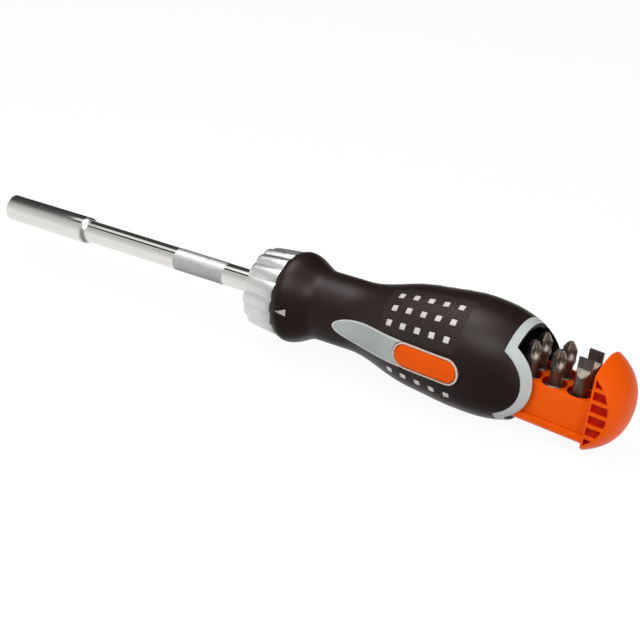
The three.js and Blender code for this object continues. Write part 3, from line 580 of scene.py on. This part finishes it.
CHROME = metal("bright_chrome", "dad9d5", "e5e4e0", 0.08, 0.12, (1, 30, 30), 60.0, 0.001)
SATIN_CHROME = metal("satin_chrome", "dad9d5", "e5e4e0", 0.3, 0.36)
KNURL = metal("knurled_chrome", "cdcecc", "d9dad8", 0.4, 0.48)
SILVER = metal("satin_silver", "dadbd9", "e7e7e5", 0.31, 0.38)
STEEL = metal("plain_steel", "8b8e92", "9a9da1", 0.3, 0.42)
BIT_STEEL = metal("bit_steel", "6a625a", "8c8379", 0.4, 0.52, (1, 1, 0.2))
DARK_STEEL = metal("dark_steel", "56534f", "66625e", 0.38, 0.5)
BRASS = metal("turned_brass", "ab8949", "bd9a58", 0.3, 0.42, (1, 6, 6))
RUBBER = soft_grip()
BLACK = moulded("black_core", "0e0d0d", "171515", 0.5)
GREY = moulded("grey_panel", "929997", "a2a8a5", 0.48)
TRIM_GREY = moulded("grey_trim", "9da3a2", "abb0af", 0.45)
BORDER = moulded("pale_border", "b4b7b3", "c0c2be", 0.42)
# Pale rim round the button; its warm peach tint is a painted reflection of the orange button
RIM_PAINTED_REFLECTION = moulded("button_rim_painted_reflection", "bba79a", "c8b5aa", 0.42)
PALE = moulded("pale_stud", "b3afab", "c6c2be", 0.5)
MARK_GREY = moulded("mark_grey", "9d9592", "aaa29f", 0.5)
ORANGE = moulded("orange_moulding", "d04a00", "d65102", 0.36, 0.06)
# The orange moulding darkened to red: painted shade for the insides of the cap's pockets, the tray's wells
# and the bit pockets
PAINTED_SHADE_ORANGE = moulded("painted_shade_orange", "b81802", "c62405", 0.45)

SLOT_MATERIALS = {
    "chrome": CHROME, "satin_silver": SILVER, "steel": STEEL, "dark_steel": DARK_STEEL, "brass": BRASS,
    "black_rubber": RUBBER, "black_plastic": BLACK, "grey_plastic": GREY, "light_plastic": PALE,
    "orange_plastic": ORANGE,
}


def dress_nodes():
    """Every CAD node gets the finish of its slot; those that are replaced are hidden later."""
    for entry in frame["record"]["subparts"]:
        mesh = frame["nodes"][entry["node"]].data
        mesh.materials.clear()
        mesh.materials.append(SLOT_MATERIALS[entry["material_slot"]])


# Drive

def hex_radius(flat):
    """Radius of a hexagon as a function of the angle."""
    sector = math.pi / 3

    def radius(angle):
        off = angle % sector - sector / 2
        return flat / 2 / math.cos(off)
    return radius


def bit_socket():
    drop = SOCKET_RADIUS - SHANK_RADIUS
    shoulder_at = SOCKET_REAR - SOCKET_SHOULDER
    mouth = hex_radius(SOCKET_MOUTH_FLAT)
    lead_in = hex_radius(SOCKET_MOUTH_FLAT + SOCKET_LEAD_IN)
    edge = SOCKET_RADIUS - SOCKET_CHAMFER
    profile = [(SOCKET_FLOOR, mouth), (SOCKET_TIP + SOCKET_LEAD_IN, mouth)]
    profile += [(SOCKET_TIP + SOCKET_LIP, lead_in), (SOCKET_TIP, edge - 2 * SOCKET_LIP)]
    profile += [(SOCKET_TIP + SOCKET_CHAMFER * (1 - math.cos(a)), edge + SOCKET_CHAMFER * math.sin(a))
                for a in quarter(4)]
    profile += [(shoulder_at + SOCKET_SHOULDER * math.sin(a), SOCKET_RADIUS - drop * (1 - math.cos(a)))
                for a in quarter(8)]
    piece = build("socket_tube", *turned(profile, SHAFT_SIDES), CHROME)
    piece.data.materials.append(SATIN_CHROME)
    for face in piece.data.polygons:
        if face.center.x > shoulder_at * MM:
            face.material_index = 1
    settle(piece, "shaft", "chrome", "bit_socket", sharp=32)


def knurl(x):
    """Radius function of a diamond knurl at x, fading in at both ends of its band."""
    inside = min((x - KNURL_FROM) / KNURL_FADE, (KNURL_TO - x) / KNURL_FADE, 1.0)
    lead = (x - KNURL_FROM) / SHANK_RADIUS

    def radius(angle):
        crossing = max(math.cos(KNURL_STARTS * (angle + lead)), math.cos(KNURL_STARTS * (angle - lead)))
        return SHANK_RADIUS + inside * KNURL_DEPTH * (KNURL_CREST - abs(crossing))
    return radius


def shaft_rod():
    rod_rear = high("shaft_rod").x
    front = [(SOCKET_REAR + SHANK_PLAY, SHANK_RADIUS), (KNURL_FROM, SHANK_RADIUS)]
    rear = [(KNURL_TO, SHANK_RADIUS), (rod_rear, SHANK_RADIUS)]
    for name, profile in (("shank_front", front), ("shank_rear", rear)):
        settle(build(name, *turned(profile, SHAFT_SIDES), CHROME), "shaft", "chrome")
    rows = [KNURL_FROM + (KNURL_TO - KNURL_FROM) * i / KNURL_ROWS for i in range(KNURL_ROWS + 1)]
    band = build("shank_knurl", *turned([(x, knurl(x)) for x in rows], KNURL_SIDES), KNURL)
    settle(band, "shaft", "chrome", "shaft_rod", sharp=80)


def lobed(radius):
    """Radius function of the collar's scalloped outside."""
    def lobes(angle):
        valley = 1 - abs(math.cos(COLLAR_LOBES / 2 * angle))
        return radius - COLLAR_LOBE_DEPTH * valley
    return lobes


def selector_collar():
    slope = (COLLAR_REAR_RADIUS - COLLAR_FRONT_RADIUS) / (COLLAR_REAR - COLLAR_FRONT)
    inside = COLLAR_FRONT + COLLAR_WALL
    profile = [(inside, COLLAR_BORE), (COLLAR_FRONT + COLLAR_BORE_CHAMFER, COLLAR_BORE)]
    profile.append((COLLAR_FRONT, COLLAR_BORE + COLLAR_BORE_CHAMFER))
    for a in quarter(6):
        x = COLLAR_FRONT + COLLAR_ROUND * (1 - math.cos(a))
        profile.append((x, lobed(COLLAR_FRONT_RADIUS - COLLAR_ROUND * (1 - math.sin(a)))))
    for x in [COLLAR_FRONT + row for row in COLLAR_ROWS] + [COLLAR_REAR - COLLAR_REAR_EDGE]:
        profile.append((x, lobed(COLLAR_FRONT_RADIUS + slope * (x - COLLAR_FRONT))))
    for x, drop in zip((COLLAR_REAR - COLLAR_REAR_EDGE / 3, COLLAR_REAR), COLLAR_REAR_DROPS):
        profile.append((x, lobed(COLLAR_REAR_RADIUS - drop)))
    profile += [(COLLAR_REAR, COLLAR_CAVITY), (inside, COLLAR_CAVITY)]
    rings = [ring(x, radius, COLLAR_LOBES * COLLAR_LOBE_SIDES) for x, radius in profile]
    piece = build("direction_collar", *bands(rings + rings[:1], False), SILVER)
    weld(piece)
    settle(piece, "collar", "satin_silver", "selector_collar", sharp=38)


def weld(piece):
    """Joins vertices that lie on each other."""
    made = bmesh.new()
    made.from_mesh(piece.data)
    bmesh.ops.remove_doubles(made, verts=made.verts, dist=1e-6)
    bmesh.ops.recalc_face_normals(made, faces=made.faces)
    made.to_mesh(piece.data)
    made.free()


# Grip

def rear_block(from_x, half_width):
    return in_rear(box(from_x, FAR, -half_width, half_width, -FAR, FAR))


def pill(margin):
    """Outline in x and z of the button, drawn in by margin."""
    points = 12
    half = BUTTON_HALF_WIDTH - margin
    outline = []
    for centre, start in ((BUTTON_TO - BUTTON_HALF_WIDTH, -90), (BUTTON_FROM + BUTTON_HALF_WIDTH, 90)):
        for i in range(points + 1):
            turn = math.radians(start + 180 * i / points)
            outline.append((centre + half * math.cos(turn), half * math.sin(turn) - INLAY_DROP))
    return outline


def blade_edge(margin):
    """Points (x, half width) along the inlay, drawn in by margin: elliptic nose, round rear."""
    points = 14
    half = INLAY_HALF_WIDTH - margin
    nose = INLAY_NOSE - margin
    straight = INLAY_FROM + INLAY_NOSE
    rear = INLAY_TO - INLAY_HALF_WIDTH
    turns = quarter(points)
    edge = [(straight - nose * math.cos(a), half * math.sin(a)) for a in turns]
    for i in range(1, points):
        edge.append((straight + (rear - straight) * i / points, half))
    return edge + [(rear + half * math.sin(a), half * math.cos(a)) for a in turns]


def blade(margin):
    """Outline in x and z of the inlay, drawn in by margin."""
    edge = blade_edge(margin)
    below = [(x, -INLAY_DROP - half) for x, half in edge]
    above = [(x, -INLAY_DROP + half) for x, half in reversed(edge[1:-1])]
    return below + above


def side_prism(outline, side, start):
    """An outline in x and z driven outwards through one side of the grip."""
    return prism(outline, start, FAR, lambda x, z, y: (x, side * y, z))


def stud_places(side, up):
    for row in range(STUD_ROWS[up]):
        turn = math.radians(STUD_FIRST_ANGLE + STUD_ROW_ANGLE * row)
        for column in range(STUD_COLUMNS):
            x = STUD_FIRST_AT + STUD_PITCH * column + (STUD_LOWER_SHIFT if up < 0 else 0)
            yield x, Vector((0, side * math.cos(turn), up * math.sin(turn)))


def stud_hole(x, out):
    """A square hole through the sleeve along out."""
    half = STUD_SIZE / 2 + SEAM
    across = Vector((1, 0, 0)).cross(out)

    def place(a, b, depth):
        return tuple(Vector((x + a, 0, 0)) + across * b + out * depth)
    return prism([(-half, -half), (half, -half), (half, half), (-half, half)], NECK_DIAMETER / 4, FAR, place)


def mark_outline(margin):
    half = MARK_WIDTH / 2 + margin
    rear = MARK_FROM + MARK_LENGTH + margin
    return [(MARK_FROM - 2 * margin, 0), (rear, -half), (rear, half)]


QUARTERS = [(side, up) for side in (-1, 1) for up in (1, -1)]
SIDE_NAMES = {-1: "left", 1: "right"}
HEIGHT_NAMES = {1: "upper", -1: "lower"}
TRIM_FROM = MOUTH_AT - TRIM_WIDTH
TRIM_OUTER = EAR_INNER + TRIM_WIDTH


def grip_mesh(inset=0.0, forward=0.0, until=END_LENGTH):
    vertices, faces = turned(grip_profile(inset, forward, until), GRIP_SIDES)
    return drooped(vertices), faces


def grip_sleeve():
    sleeve = build("grip_skin", *grip_mesh(), RUBBER)
    boolean(sleeve, "DIFFERENCE", grip_mesh(SLEEVE_WALL, PAST, TRIM_FROM + GAP))
    boolean(sleeve, "DIFFERENCE", rear_block(TRIM_FROM - SEAM, TRIM_OUTER + SEAM))
    windows = [side_prism(blade(-SEAM), side, PAST) for side in (-1, 1)]
    windows += [stud_hole(x, out) for side, up in QUARTERS for x, out in stud_places(side, up)]
    windows.append(side_prism(mark_outline(SEAM), -1, NECK_DIAMETER / 2))
    boolean(sleeve, "DIFFERENCE", joined(*windows))
    settle(sleeve, "handle", "black_rubber", "grip_sleeve")


def bore_outline(radius, half_width):
    """Outline in y and z of a round bore with flat sides."""
    points = 48
    limit = math.acos(half_width / radius)
    outline = []
    for centre in (math.pi / 2, -math.pi / 2):
        reach = math.pi / 2 - limit
        for i in range(points + 1):
            turn = centre + reach * (1 - 2 * i / points)
            outline.append((radius * math.cos(turn), radius * math.sin(turn)))
    return outline


def rear_trim():
    trim = build("mouth_trim", *grip_mesh(), TRIM_GREY)
    boolean(trim, "INTERSECT", rear_block(TRIM_FROM, TRIM_OUTER))
    bore = end_radius(MOUTH_AT) - MOUTH_WALL
    outline = bore_outline(bore, EAR_INNER)
    boolean(trim, "DIFFERENCE", in_rear(prism(outline, 0, FAR, lambda y, z, x: (x, y, z))), BLACK)
    boolean(trim, "DIFFERENCE", rear_block(MOUTH_AT, EAR_INNER), BLACK)
    settle(trim, "handle", "grey_plastic", "rear_trim")


def raised(outlines, side, root):
    """A pad on the grip's side from (outline, lift) rings, outermost first, closed at its root."""
    rings = []
    first = outlines[0][0]
    rings.append([(x, side * (side_depth(x, z, 0) - root), z) for x, z in first])
    for outline, lift in outlines:
        rings.append([(x, side * side_depth(x, z, lift), z) for x, z in outline])
    return bands(rings)


def draped(edge, middle, side, lift):
    """A pad that follows the grip's side, from (x, half width) points about a middle line."""
    across, least = 8, 0.02
    shares = [2 * i / across - 1 for i in range(across + 1)]
    rings = []
    for x, half in edge:
        half = max(half, least)
        heights = [middle + half * share for share in shares]
        top = [(x, side * side_depth(x, z, lift), z) for z in heights]
        foot = [(x, side * side_depth(x, z, -SLEEVE_WALL), z) for z in (heights[-1], heights[0])]
        rings.append(top + foot)
    return bands(rings)


def side_inlays():
    for side in (-1, 1):
        name = SIDE_NAMES[side]
        border_rings = [(blade(0.0), -SEAM)]
        border_rings += [(blade(margin), INLAY_LIFT) for margin in (INLAY_BEVEL, INLAY_BORDER)]
        border = build(f"inlay_border_{name}", *raised(border_rings, side, SLEEVE_WALL), BORDER)
        edge = blade_edge(INLAY_BORDER + INLAY_LIFT)
        panel = build(f"inlay_panel_{name}", *draped(edge, -INLAY_DROP, side, -INLAY_SINK), GREY)
        boolean(border, "DIFFERENCE", side_prism(blade(INLAY_BORDER), side, PAST))
        if side < 0:
            button_bezel()
            window = side_prism(pill(-GAP - BEZEL - BEZEL_SEAM), side, PAST)
            boolean(panel, "DIFFERENCE", window)
            boolean(border, "DIFFERENCE", window)
        settle(border, "handle", "grey_plastic")
        settle(panel, "handle", "grey_plastic", f"side_inlay_{name}")


def button_bezel():
    """The pale rim round the button, part of the inlay, tinted peach by a painted reflection of the orange
    button.
    """
    outer = -GAP - BEZEL
    rings = [(pill(outer), 0.0), (pill(outer + BEZEL_BEVEL), BEZEL_LIFT), (pill(-GAP), BEZEL_LIFT)]
    # the rim's peach tint is a painted reflection of the orange button
    bezel = build("button_bezel", *raised(rings, -1, SLEEVE_WALL), RIM_PAINTED_REFLECTION)
    boolean(bezel, "DIFFERENCE", side_prism(pill(-GAP), -1, PAST))
    settle(bezel, "handle", "grey_plastic")


def release_button():
    steps = BUTTON_EDGE + tuple((margin, PROUD) for margin in BUTTON_TOP_ROWS)
    depth = -high("release_button").y
    rings = [[(x, -depth, z) for x, z in pill(0.0)]]
    rings += [[(x, -side_depth(x, z, lift), z) for x, z in pill(margin)] for margin, lift in steps]
    button = build("button_cap", *bands(rings), ORANGE)
    boolean(button, "DIFFERENCE", spring_pocket(depth))
    settle(button, "button", "orange_plastic", "release_button")


def spring_pocket(depth):
    """The hollow in the button's underside that clears its spring when the button is pressed."""
    near, far = low("button_spring"), high("button_spring")
    radius = (far.x - near.x) / 2 + GAP
    turns = [2 * math.pi * i / WELL_SIDES for i in range(WELL_SIDES)]
    middle_x, middle_z = (near.x + far.x) / 2, (near.z + far.z) / 2
    outline = [(middle_x + radius * math.cos(a), middle_z + radius * math.sin(a)) for a in turns]
    return prism(outline, -depth - BUTTON_TRAVEL, -depth + PAST, lambda x, z, y: (x, y, z))


def stud(x, out):
    """A square pad that follows the grip, with rounded edges."""
    half = STUD_SIZE / 2
    across = Vector((1, 0, 0)).cross(out)

    def outline(scale):
        points = []
        for turn in (45, 135, 225, 315):
            centre = [math.copysign(1 - STUD_CORNER, f(math.radians(turn))) for f in (math.cos, math.sin)]
            for off in (-45, -15, 15, 45):
                a = math.radians(turn + off)
                points.append((half * scale * (centre[0] + STUD_CORNER * math.cos(a)),
                               half * scale * (centre[1] + STUD_CORNER * math.sin(a))))
        return points

    def place(a, b, lift):
        radius = grip_radius(x + a - HANDLE_FRONT) + lift
        return tuple(Vector((x + a, 0, 0)) + across * b + out * math.sqrt(radius * radius - b * b))

    rings = [[place(a, b, -STUD_DEPTH) for a, b in outline(1.0)]]
    rings += [[place(a, b, lift) for a, b in outline(scale)] for scale, lift in STUD_EDGE]
    return bands(rings)


def studs():
    for side, up in QUARTERS:
        place = f"{HEIGHT_NAMES[up]}_{SIDE_NAMES[side]}"
        piece = build(f"studs_{place}", *joined(*[stud(x, out) for x, out in stud_places(side, up)]), PALE)
        settle(piece, "handle", "light_plastic", f"stud_plate_{place}", sharp=50)


def direction_mark():
    shares = [i / MARK_STEPS for i in range(MARK_STEPS + 1)]
    edge = [(MARK_FROM + MARK_LENGTH * share, MARK_WIDTH / 2 * share) for share in shares]
    piece = build("arrow_mark", *draped(edge, 0, -1, PROUD / 2), MARK_GREY)
    settle(piece, "handle", "light_plastic", "direction_mark")


# Magazine

def bit_places():
    for column in range(BIT_COLUMNS):
        for row in (-1, 1):
            yield BIT_LAST_AT - (BIT_COLUMNS - 1 - column) * BIT_PITCH, row * BIT_ROW_HALF, BIT_TIPS[column]


def round_bottom(half_width, radius):
    """The tray's round underside in y and z, from its -y edge to its +y edge."""
    count = 24
    limit = math.asin(half_width / radius)
    turns = [limit * (2 * i / count - 1) for i in range(count + 1)]
    return [(radius * math.sin(a), -radius * math.cos(a)) for a in turns]


def soft_corner(y, z):
    """A rounded edge in place of the corner at y and z, from the side round to the top."""
    return [(y - TRAY_EDGE * (1 - math.cos(a)), z - TRAY_EDGE * (1 - math.sin(a))) for a in quarter(3)]


def tray_section():
    """The tray's outline in y and z: a round bottom, a ledge along each side, and straight walls."""
    ledge = TRAY_HALF_WIDTH + TRAY_LEDGE
    flank = soft_corner(ledge, TRAY_LEDGE_TOP) + [(TRAY_HALF_WIDTH, TRAY_LEDGE_TOP)]
    flank += soft_corner(TRAY_HALF_WIDTH, TRAY_TOP)
    return round_bottom(ledge, TRAY_RADIUS) + flank + [(-y, z) for y, z in reversed(flank)]


def tail_section():
    half_width = TRAY_HALF_WIDTH - TRAY_TAIL_STEP
    flank = soft_corner(half_width, TRAY_TAIL_TOP)
    return round_bottom(half_width, TRAY_TAIL_RADIUS) + flank + [(-y, z) for y, z in reversed(flank)]


def along_rear(outline, start, end):
    return in_rear(prism(outline, start, end, lambda y, z, x: (x, y, z)))


def upright(outline, low_end, high_end, x, y):
    """An outline in x and y raised along the magazine's own z."""
    return in_rear(prism(outline, low_end, high_end, lambda a, b, z: (x + a, y + b, z)))


def hex_outline(flat):
    reach = flat / math.sqrt(3)
    corners = [math.radians(60 * i) for i in range(6)]
    return [(reach * math.cos(a), reach * math.sin(a)) for a in corners]


def twin_well(x):
    """The two round wells in the tray's top round a pair of bits, which run into each other."""
    opening = math.acos(BIT_ROW_HALF / WELL_RADIUS)
    outline = []
    for row in (-1, 1):
        first = opening - row * math.pi / 2
        span = 2 * (math.pi - opening)
        for turn in (first + span * i / WELL_SIDES for i in range(WELL_SIDES)):
            across = row * BIT_ROW_HALF + WELL_RADIUS * math.sin(turn)
            outline.append((WELL_RADIUS * math.cos(turn), across))
    return upright(outline, TRAY_TOP - WELL_DEPTH, FAR, x, 0)


def magazine_tray():
    tray = build("bit_tray", *along_rear(tray_section(), TRAY_FRONT, CAP_FRONT), ORANGE)
    boolean(tray, "UNION", along_rear(tail_section(), TRAY_FRONT - TRAY_TAIL_LENGTH, TRAY_FRONT + PAST))
    for x in sorted({x for x, y, tip in bit_places()}):
        # the wells' walls and floors get the painted shade
        boolean(tray, "DIFFERENCE", twin_well(x), PAINTED_SHADE_ORANGE)
    pocket = hex_outline(BIT_FLAT + BIT_POCKET_PLAY)
    pockets = [upright(pocket, BIT_SEAT - GAP, FAR, x, y) for x, y, tip in bit_places()]
    # the bit pockets' walls get the painted shade
    boolean(tray, "DIFFERENCE", joined(*pockets), PAINTED_SHADE_ORANGE)
    settle(tray, "magazine", "orange_plastic", "magazine_tray")


def cap_pocket(bottom, top, side):
    """A pocket in one flat of the cap, between two heights, that follows the flat's round edge."""
    edge = []
    for i in range(CAP_POCKET_ROWS + 1):
        z = bottom + (top - bottom) * i / CAP_POCKET_ROWS
        share = 1 - (math.hypot(CAP_HALF, z) / (BELLY_DIAMETER / 2)) ** END_FULLNESS
        edge.append((END_LENGTH * share ** (1 / END_FULLNESS) - CAP_POCKET_RIM, z))
    front = MOUTH_AT + GAP + CAP_POCKET_MARGIN
    edge = [(max(x, front + CAP_POCKET_LEAST), z) for x, z in edge]
    outline = [(front, top), (front, bottom)] + edge
    floor_at = side * (CAP_HALF - CAP_POCKET_DEPTH)
    return in_rear(prism(outline, floor_at, side * FAR, lambda x, z, y: (x, y, z)))


def magazine_cap():
    cap = build("magazine_dome", *in_rear(turned(end_profile(), GRIP_SIDES)), ORANGE)
    boolean(cap, "INTERSECT", rear_block(MOUTH_AT + GAP, CAP_HALF))
    soften(cap, CAP_EDGE)
    pitch = 2 * math.sqrt(end_radius(MOUTH_AT) ** 2 - EAR_INNER ** 2) / CAP_POCKETS
    half = (pitch - CAP_RIB) / 2
    for i in range(CAP_POCKETS):
        middle = (i - (CAP_POCKETS - 1) / 2) * pitch
        for side in (-1, 1):
            # the pockets' walls and floors get the painted shade
            boolean(cap, "DIFFERENCE", cap_pocket(middle - half, middle + half, side), PAINTED_SHADE_ORANGE)
    shift = Vector(from_rear((TRAVEL, 0, 0))) - Vector(from_rear((0, 0, 0)))
    cap.data.transform(Matrix.Translation(shift * MM))
    settle(cap, "magazine", "orange_plastic", "magazine_cap")


def bit_mesh(tip):
    """A bit standing on its rear end: hex body, turned neck, and a cross or a flat tip."""
    profile = BIT_PROFILES[tip]
    heights = {z for z, r in profile}
    rows = math.ceil((BIT_LENGTH - GRIND_ROWS_FROM) / GRIND_ROW)
    heights |= {GRIND_ROWS_FROM + GRIND_ROW * i for i in range(rows)}
    angles = [i * 2 * math.pi / BIT_SIDES for i in range(BIT_SIDES)]
    return bands([[bit_point(a, z, profile, tip) for a in angles] for z in sorted(heights)])


def bit_point(angle, z, profile, tip):
    for (z0, r0), (z1, r1) in zip(profile, profile[1:]):
        if z0 <= z <= z1:
            radius = r0 + (r1 - r0) * (z - z0) / (z1 - z0)
            break
    radius = min(radius, hex_radius(BIT_FLAT)(angle))
    x, y = radius * math.cos(angle), radius * math.sin(angle)
    grind = min(max((z - GRIND_FROM) / GRIND_LENGTH, 0), 1)
    if tip == "cross":
        flute = FLUTE_DEPTH * grind * abs(math.sin(2 * angle))
        return (x * (1 - flute), y * (1 - flute), z)
    thin = BLADE_ROOT - (BLADE_ROOT - BLADE_TIP) * grind
    return (x, min(max(y, -thin), thin), z)


def bits():
    for number, (x, y, tip) in enumerate(bit_places(), 1):
        vertices, faces = bit_mesh(tip)
        placed = [from_rear((x + a, y + b, BIT_SEAT + c)) for a, b, c in vertices]
        piece = build(f"driver_bit_{number}", placed, faces, BIT_STEEL)
        settle(piece, "magazine", "dark_steel", f"bit_{number}", sharp=28)


# Studio

CAMERA_AT = Vector((370.0, -390.9, 193.3)) * MM
CAMERA_BACK = Vector((0.4834, -0.7799, 0.3977)).normalized()
CAMERA_ROLL = math.radians(3.96)
CAMERA_LENS = 83.3
WORLD_LEVEL = 0.28  # of the light on the tool; the background itself is white
FLOOR_HALF = 3000.0
FLOOR_DROP = 0.2  # below the tool
FLOOR_GLOW = 0.94
CARD_REACH = 1200.0
CARD_ROWS = 16


def camera():
    right = Vector((0, 0, 1)).cross(CAMERA_BACK).normalized()
    up = CAMERA_BACK.cross(right)
    rolled_right = right * math.cos(CAMERA_ROLL) + up * math.sin(CAMERA_ROLL)
    rolled_up = up * math.cos(CAMERA_ROLL) - right * math.sin(CAMERA_ROLL)
    data = bpy.data.cameras.new("camera")
    data.lens = CAMERA_LENS
    data.sensor_width = 36
    data.clip_start = 0.01
    made = bpy.data.objects.new("camera", data)
    turn = Matrix((rolled_right, rolled_up, CAMERA_BACK)).transposed().to_4x4()
    made.matrix_world = Matrix.Translation(CAMERA_AT) @ turn
    bpy.context.scene.collection.objects.link(made)
    bpy.context.scene.camera = made


def seen_directly(tree):
    """1 for rays that show the background itself: from the camera, off gloss, or through clear material."""
    path = tree.nodes.new("ShaderNodeLightPath")
    total = None
    for name in ("Is Camera Ray", "Is Glossy Ray", "Is Transmission Ray"):
        if total is None:
            total = path.outputs[name]
            continue
        step = tree.nodes.new("ShaderNodeMath")
        step.operation = "MAXIMUM"
        tree.links.new(total, step.inputs[0])
        tree.links.new(path.outputs[name], step.inputs[1])
        total = step.outputs[0]
    return total


def world():
    made = bpy.data.worlds.new("white_studio")
    made.use_nodes = True
    bpy.context.scene.world = made
    tree = made.node_tree
    background = tree.nodes["Background"]
    background.inputs["Color"].default_value = (1, 1, 1, 1)
    level = tree.nodes.new("ShaderNodeMapRange")
    level.inputs["To Min"].default_value = WORLD_LEVEL
    level.inputs["To Max"].default_value = 1.0
    tree.links.new(seen_directly(tree), level.inputs["Value"])
    tree.links.new(level.outputs[0], background.inputs["Strength"])


def floor():
    depth = CAD_BOX[0].z / MM - FLOOR_DROP
    corners = [(x, y, depth) for x, y in ((-1, -1), (1, -1), (1, 1), (-1, 1))]
    vertices = [(FLOOR_HALF * x, FLOOR_HALF * y, z) for x, y, z in corners]
    piece = build("floor", vertices, [(0, 1, 2, 3)])
    material = bpy.data.materials.new("white_floor")
    material.use_nodes = True
    tree = material.node_tree
    shader = tree.nodes["Principled BSDF"]
    shader.inputs["Base Color"].default_value = (0.9, 0.9, 0.9, 1)
    shader.inputs["Roughness"].default_value = 0.9
    glow = tree.nodes.new("ShaderNodeEmission")
    share = tree.nodes.new("ShaderNodeMath")
    share.operation = "MULTIPLY"
    tree.links.new(seen_directly(tree), share.inputs[0])
    share.inputs[1].default_value = FLOOR_GLOW
    mix = tree.nodes.new("ShaderNodeMixShader")
    tree.links.new(share.outputs[0], mix.inputs[0])
    tree.links.new(shader.outputs[0], mix.inputs[1])
    tree.links.new(glow.outputs[0], mix.inputs[2])
    tree.links.new(mix.outputs[0], tree.nodes["Material Output"].inputs["Surface"])
    piece.data.materials.append(material)
    piece.visible_glossy = False


def softbox(name, place, target, size, watts):
    data = bpy.data.lights.new(name, "AREA")
    data.shape = "RECTANGLE"
    data.size, data.size_y = (side * MM for side in size)
    data.energy = watts
    lamp = bpy.data.objects.new(name, data)
    lamp.location = Vector(place) * MM
    aim = (Vector(target) - Vector(place)).to_track_quat("-Z", "Y")
    lamp.rotation_mode = "QUATERNION"
    lamp.rotation_quaternion = aim
    bpy.context.scene.collection.objects.link(lamp)


def card(name, from_turn, to_turn, from_x, to_x, from_level, to_level):
    """A curved studio card about the tool's axis, which only reflections show.

    Its turns are degrees from +Y towards +Z. It glows evenly from one level to another.
    """
    rows = []
    for i in range(CARD_ROWS + 1):
        turn = math.radians(from_turn + (to_turn - from_turn) * i / CARD_ROWS)
        rows.append([(x, CARD_REACH * math.cos(turn), CARD_REACH * math.sin(turn)) for x in (from_x, to_x)])
    faces = [(2 * i, 2 * i + 1, 2 * i + 3, 2 * i + 2) for i in range(CARD_ROWS)]
    piece = build(name, [point for row in rows for point in row], faces)
    material = bpy.data.materials.new(name)
    material.use_nodes = True
    shader = material.node_tree.nodes["Principled BSDF"]
    shader.inputs["Base Color"].default_value = (0.02, 0.02, 0.02, 1)
    shader.inputs["Roughness"].default_value = 1.0
    shader.inputs["Emission Color"].default_value = (1, 1, 1, 1)
    tree = material.node_tree
    place = tree.nodes.new("ShaderNodeSeparateXYZ")
    tree.links.new(tree.nodes.new("ShaderNodeTexCoord").outputs["Object"], place.inputs[0])
    turn = tree.nodes.new("ShaderNodeMath")
    turn.operation = "ARCTAN2"
    tree.links.new(place.outputs["Z"], turn.inputs[0])
    tree.links.new(place.outputs["Y"], turn.inputs[1])
    level = tree.nodes.new("ShaderNodeMapRange")
    tree.links.new(turn.outputs[0], level.inputs["Value"])
    ends = (math.radians(from_turn), math.radians(to_turn), from_level, to_level)
    for socket, value in zip(("From Min", "From Max", "To Min", "To Max"), ends):
        level.inputs[socket].default_value = value
    tree.links.new(level.outputs[0], shader.inputs["Emission Strength"])
    piece.data.materials.append(material)
    piece.visible_camera = False
    piece.visible_diffuse = False
    piece.visible_shadow = False


def studio():
    bpy.context.scene.view_settings.view_transform = "Standard"
    world()
    floor()
    middle = (110, 0, 0)
    softbox("key", (160, -500, 620), middle, (500, 350), 3.1)
    softbox("top", (-120, -20, 720), middle, (500, 350), 3.0)
    softbox("fill", (900, -330, 480), middle, (450, 450), 4.1)
    card("ceiling_card", 1, 72, -2200, 1500, 0.0, 0.06)
    card("tip_card", 72, 95, -2200, -930, 0.06, 0.12)
    card("tip_slope_card", 95, 124, -2200, -930, 0.12, 0.5)
    card("strip_card", 99, 118, -930, 900, 0.0, 0.01)
    card("front_card", 124, 178, -2200, -610, 0.52, 0.85)
    card("grip_card", 118, 178, -610, 1500, 0.05, 0.25)
    card("low_card", 178, 290, -610, 1500, 0.25, 0.25)


dress_nodes()
bit_socket()
shaft_rod()
selector_collar()
grip_sleeve()
rear_trim()
side_inlays()
release_button()
studs()
direction_mark()
magazine_tray()
magazine_cap()
bits()
camera()
studio()
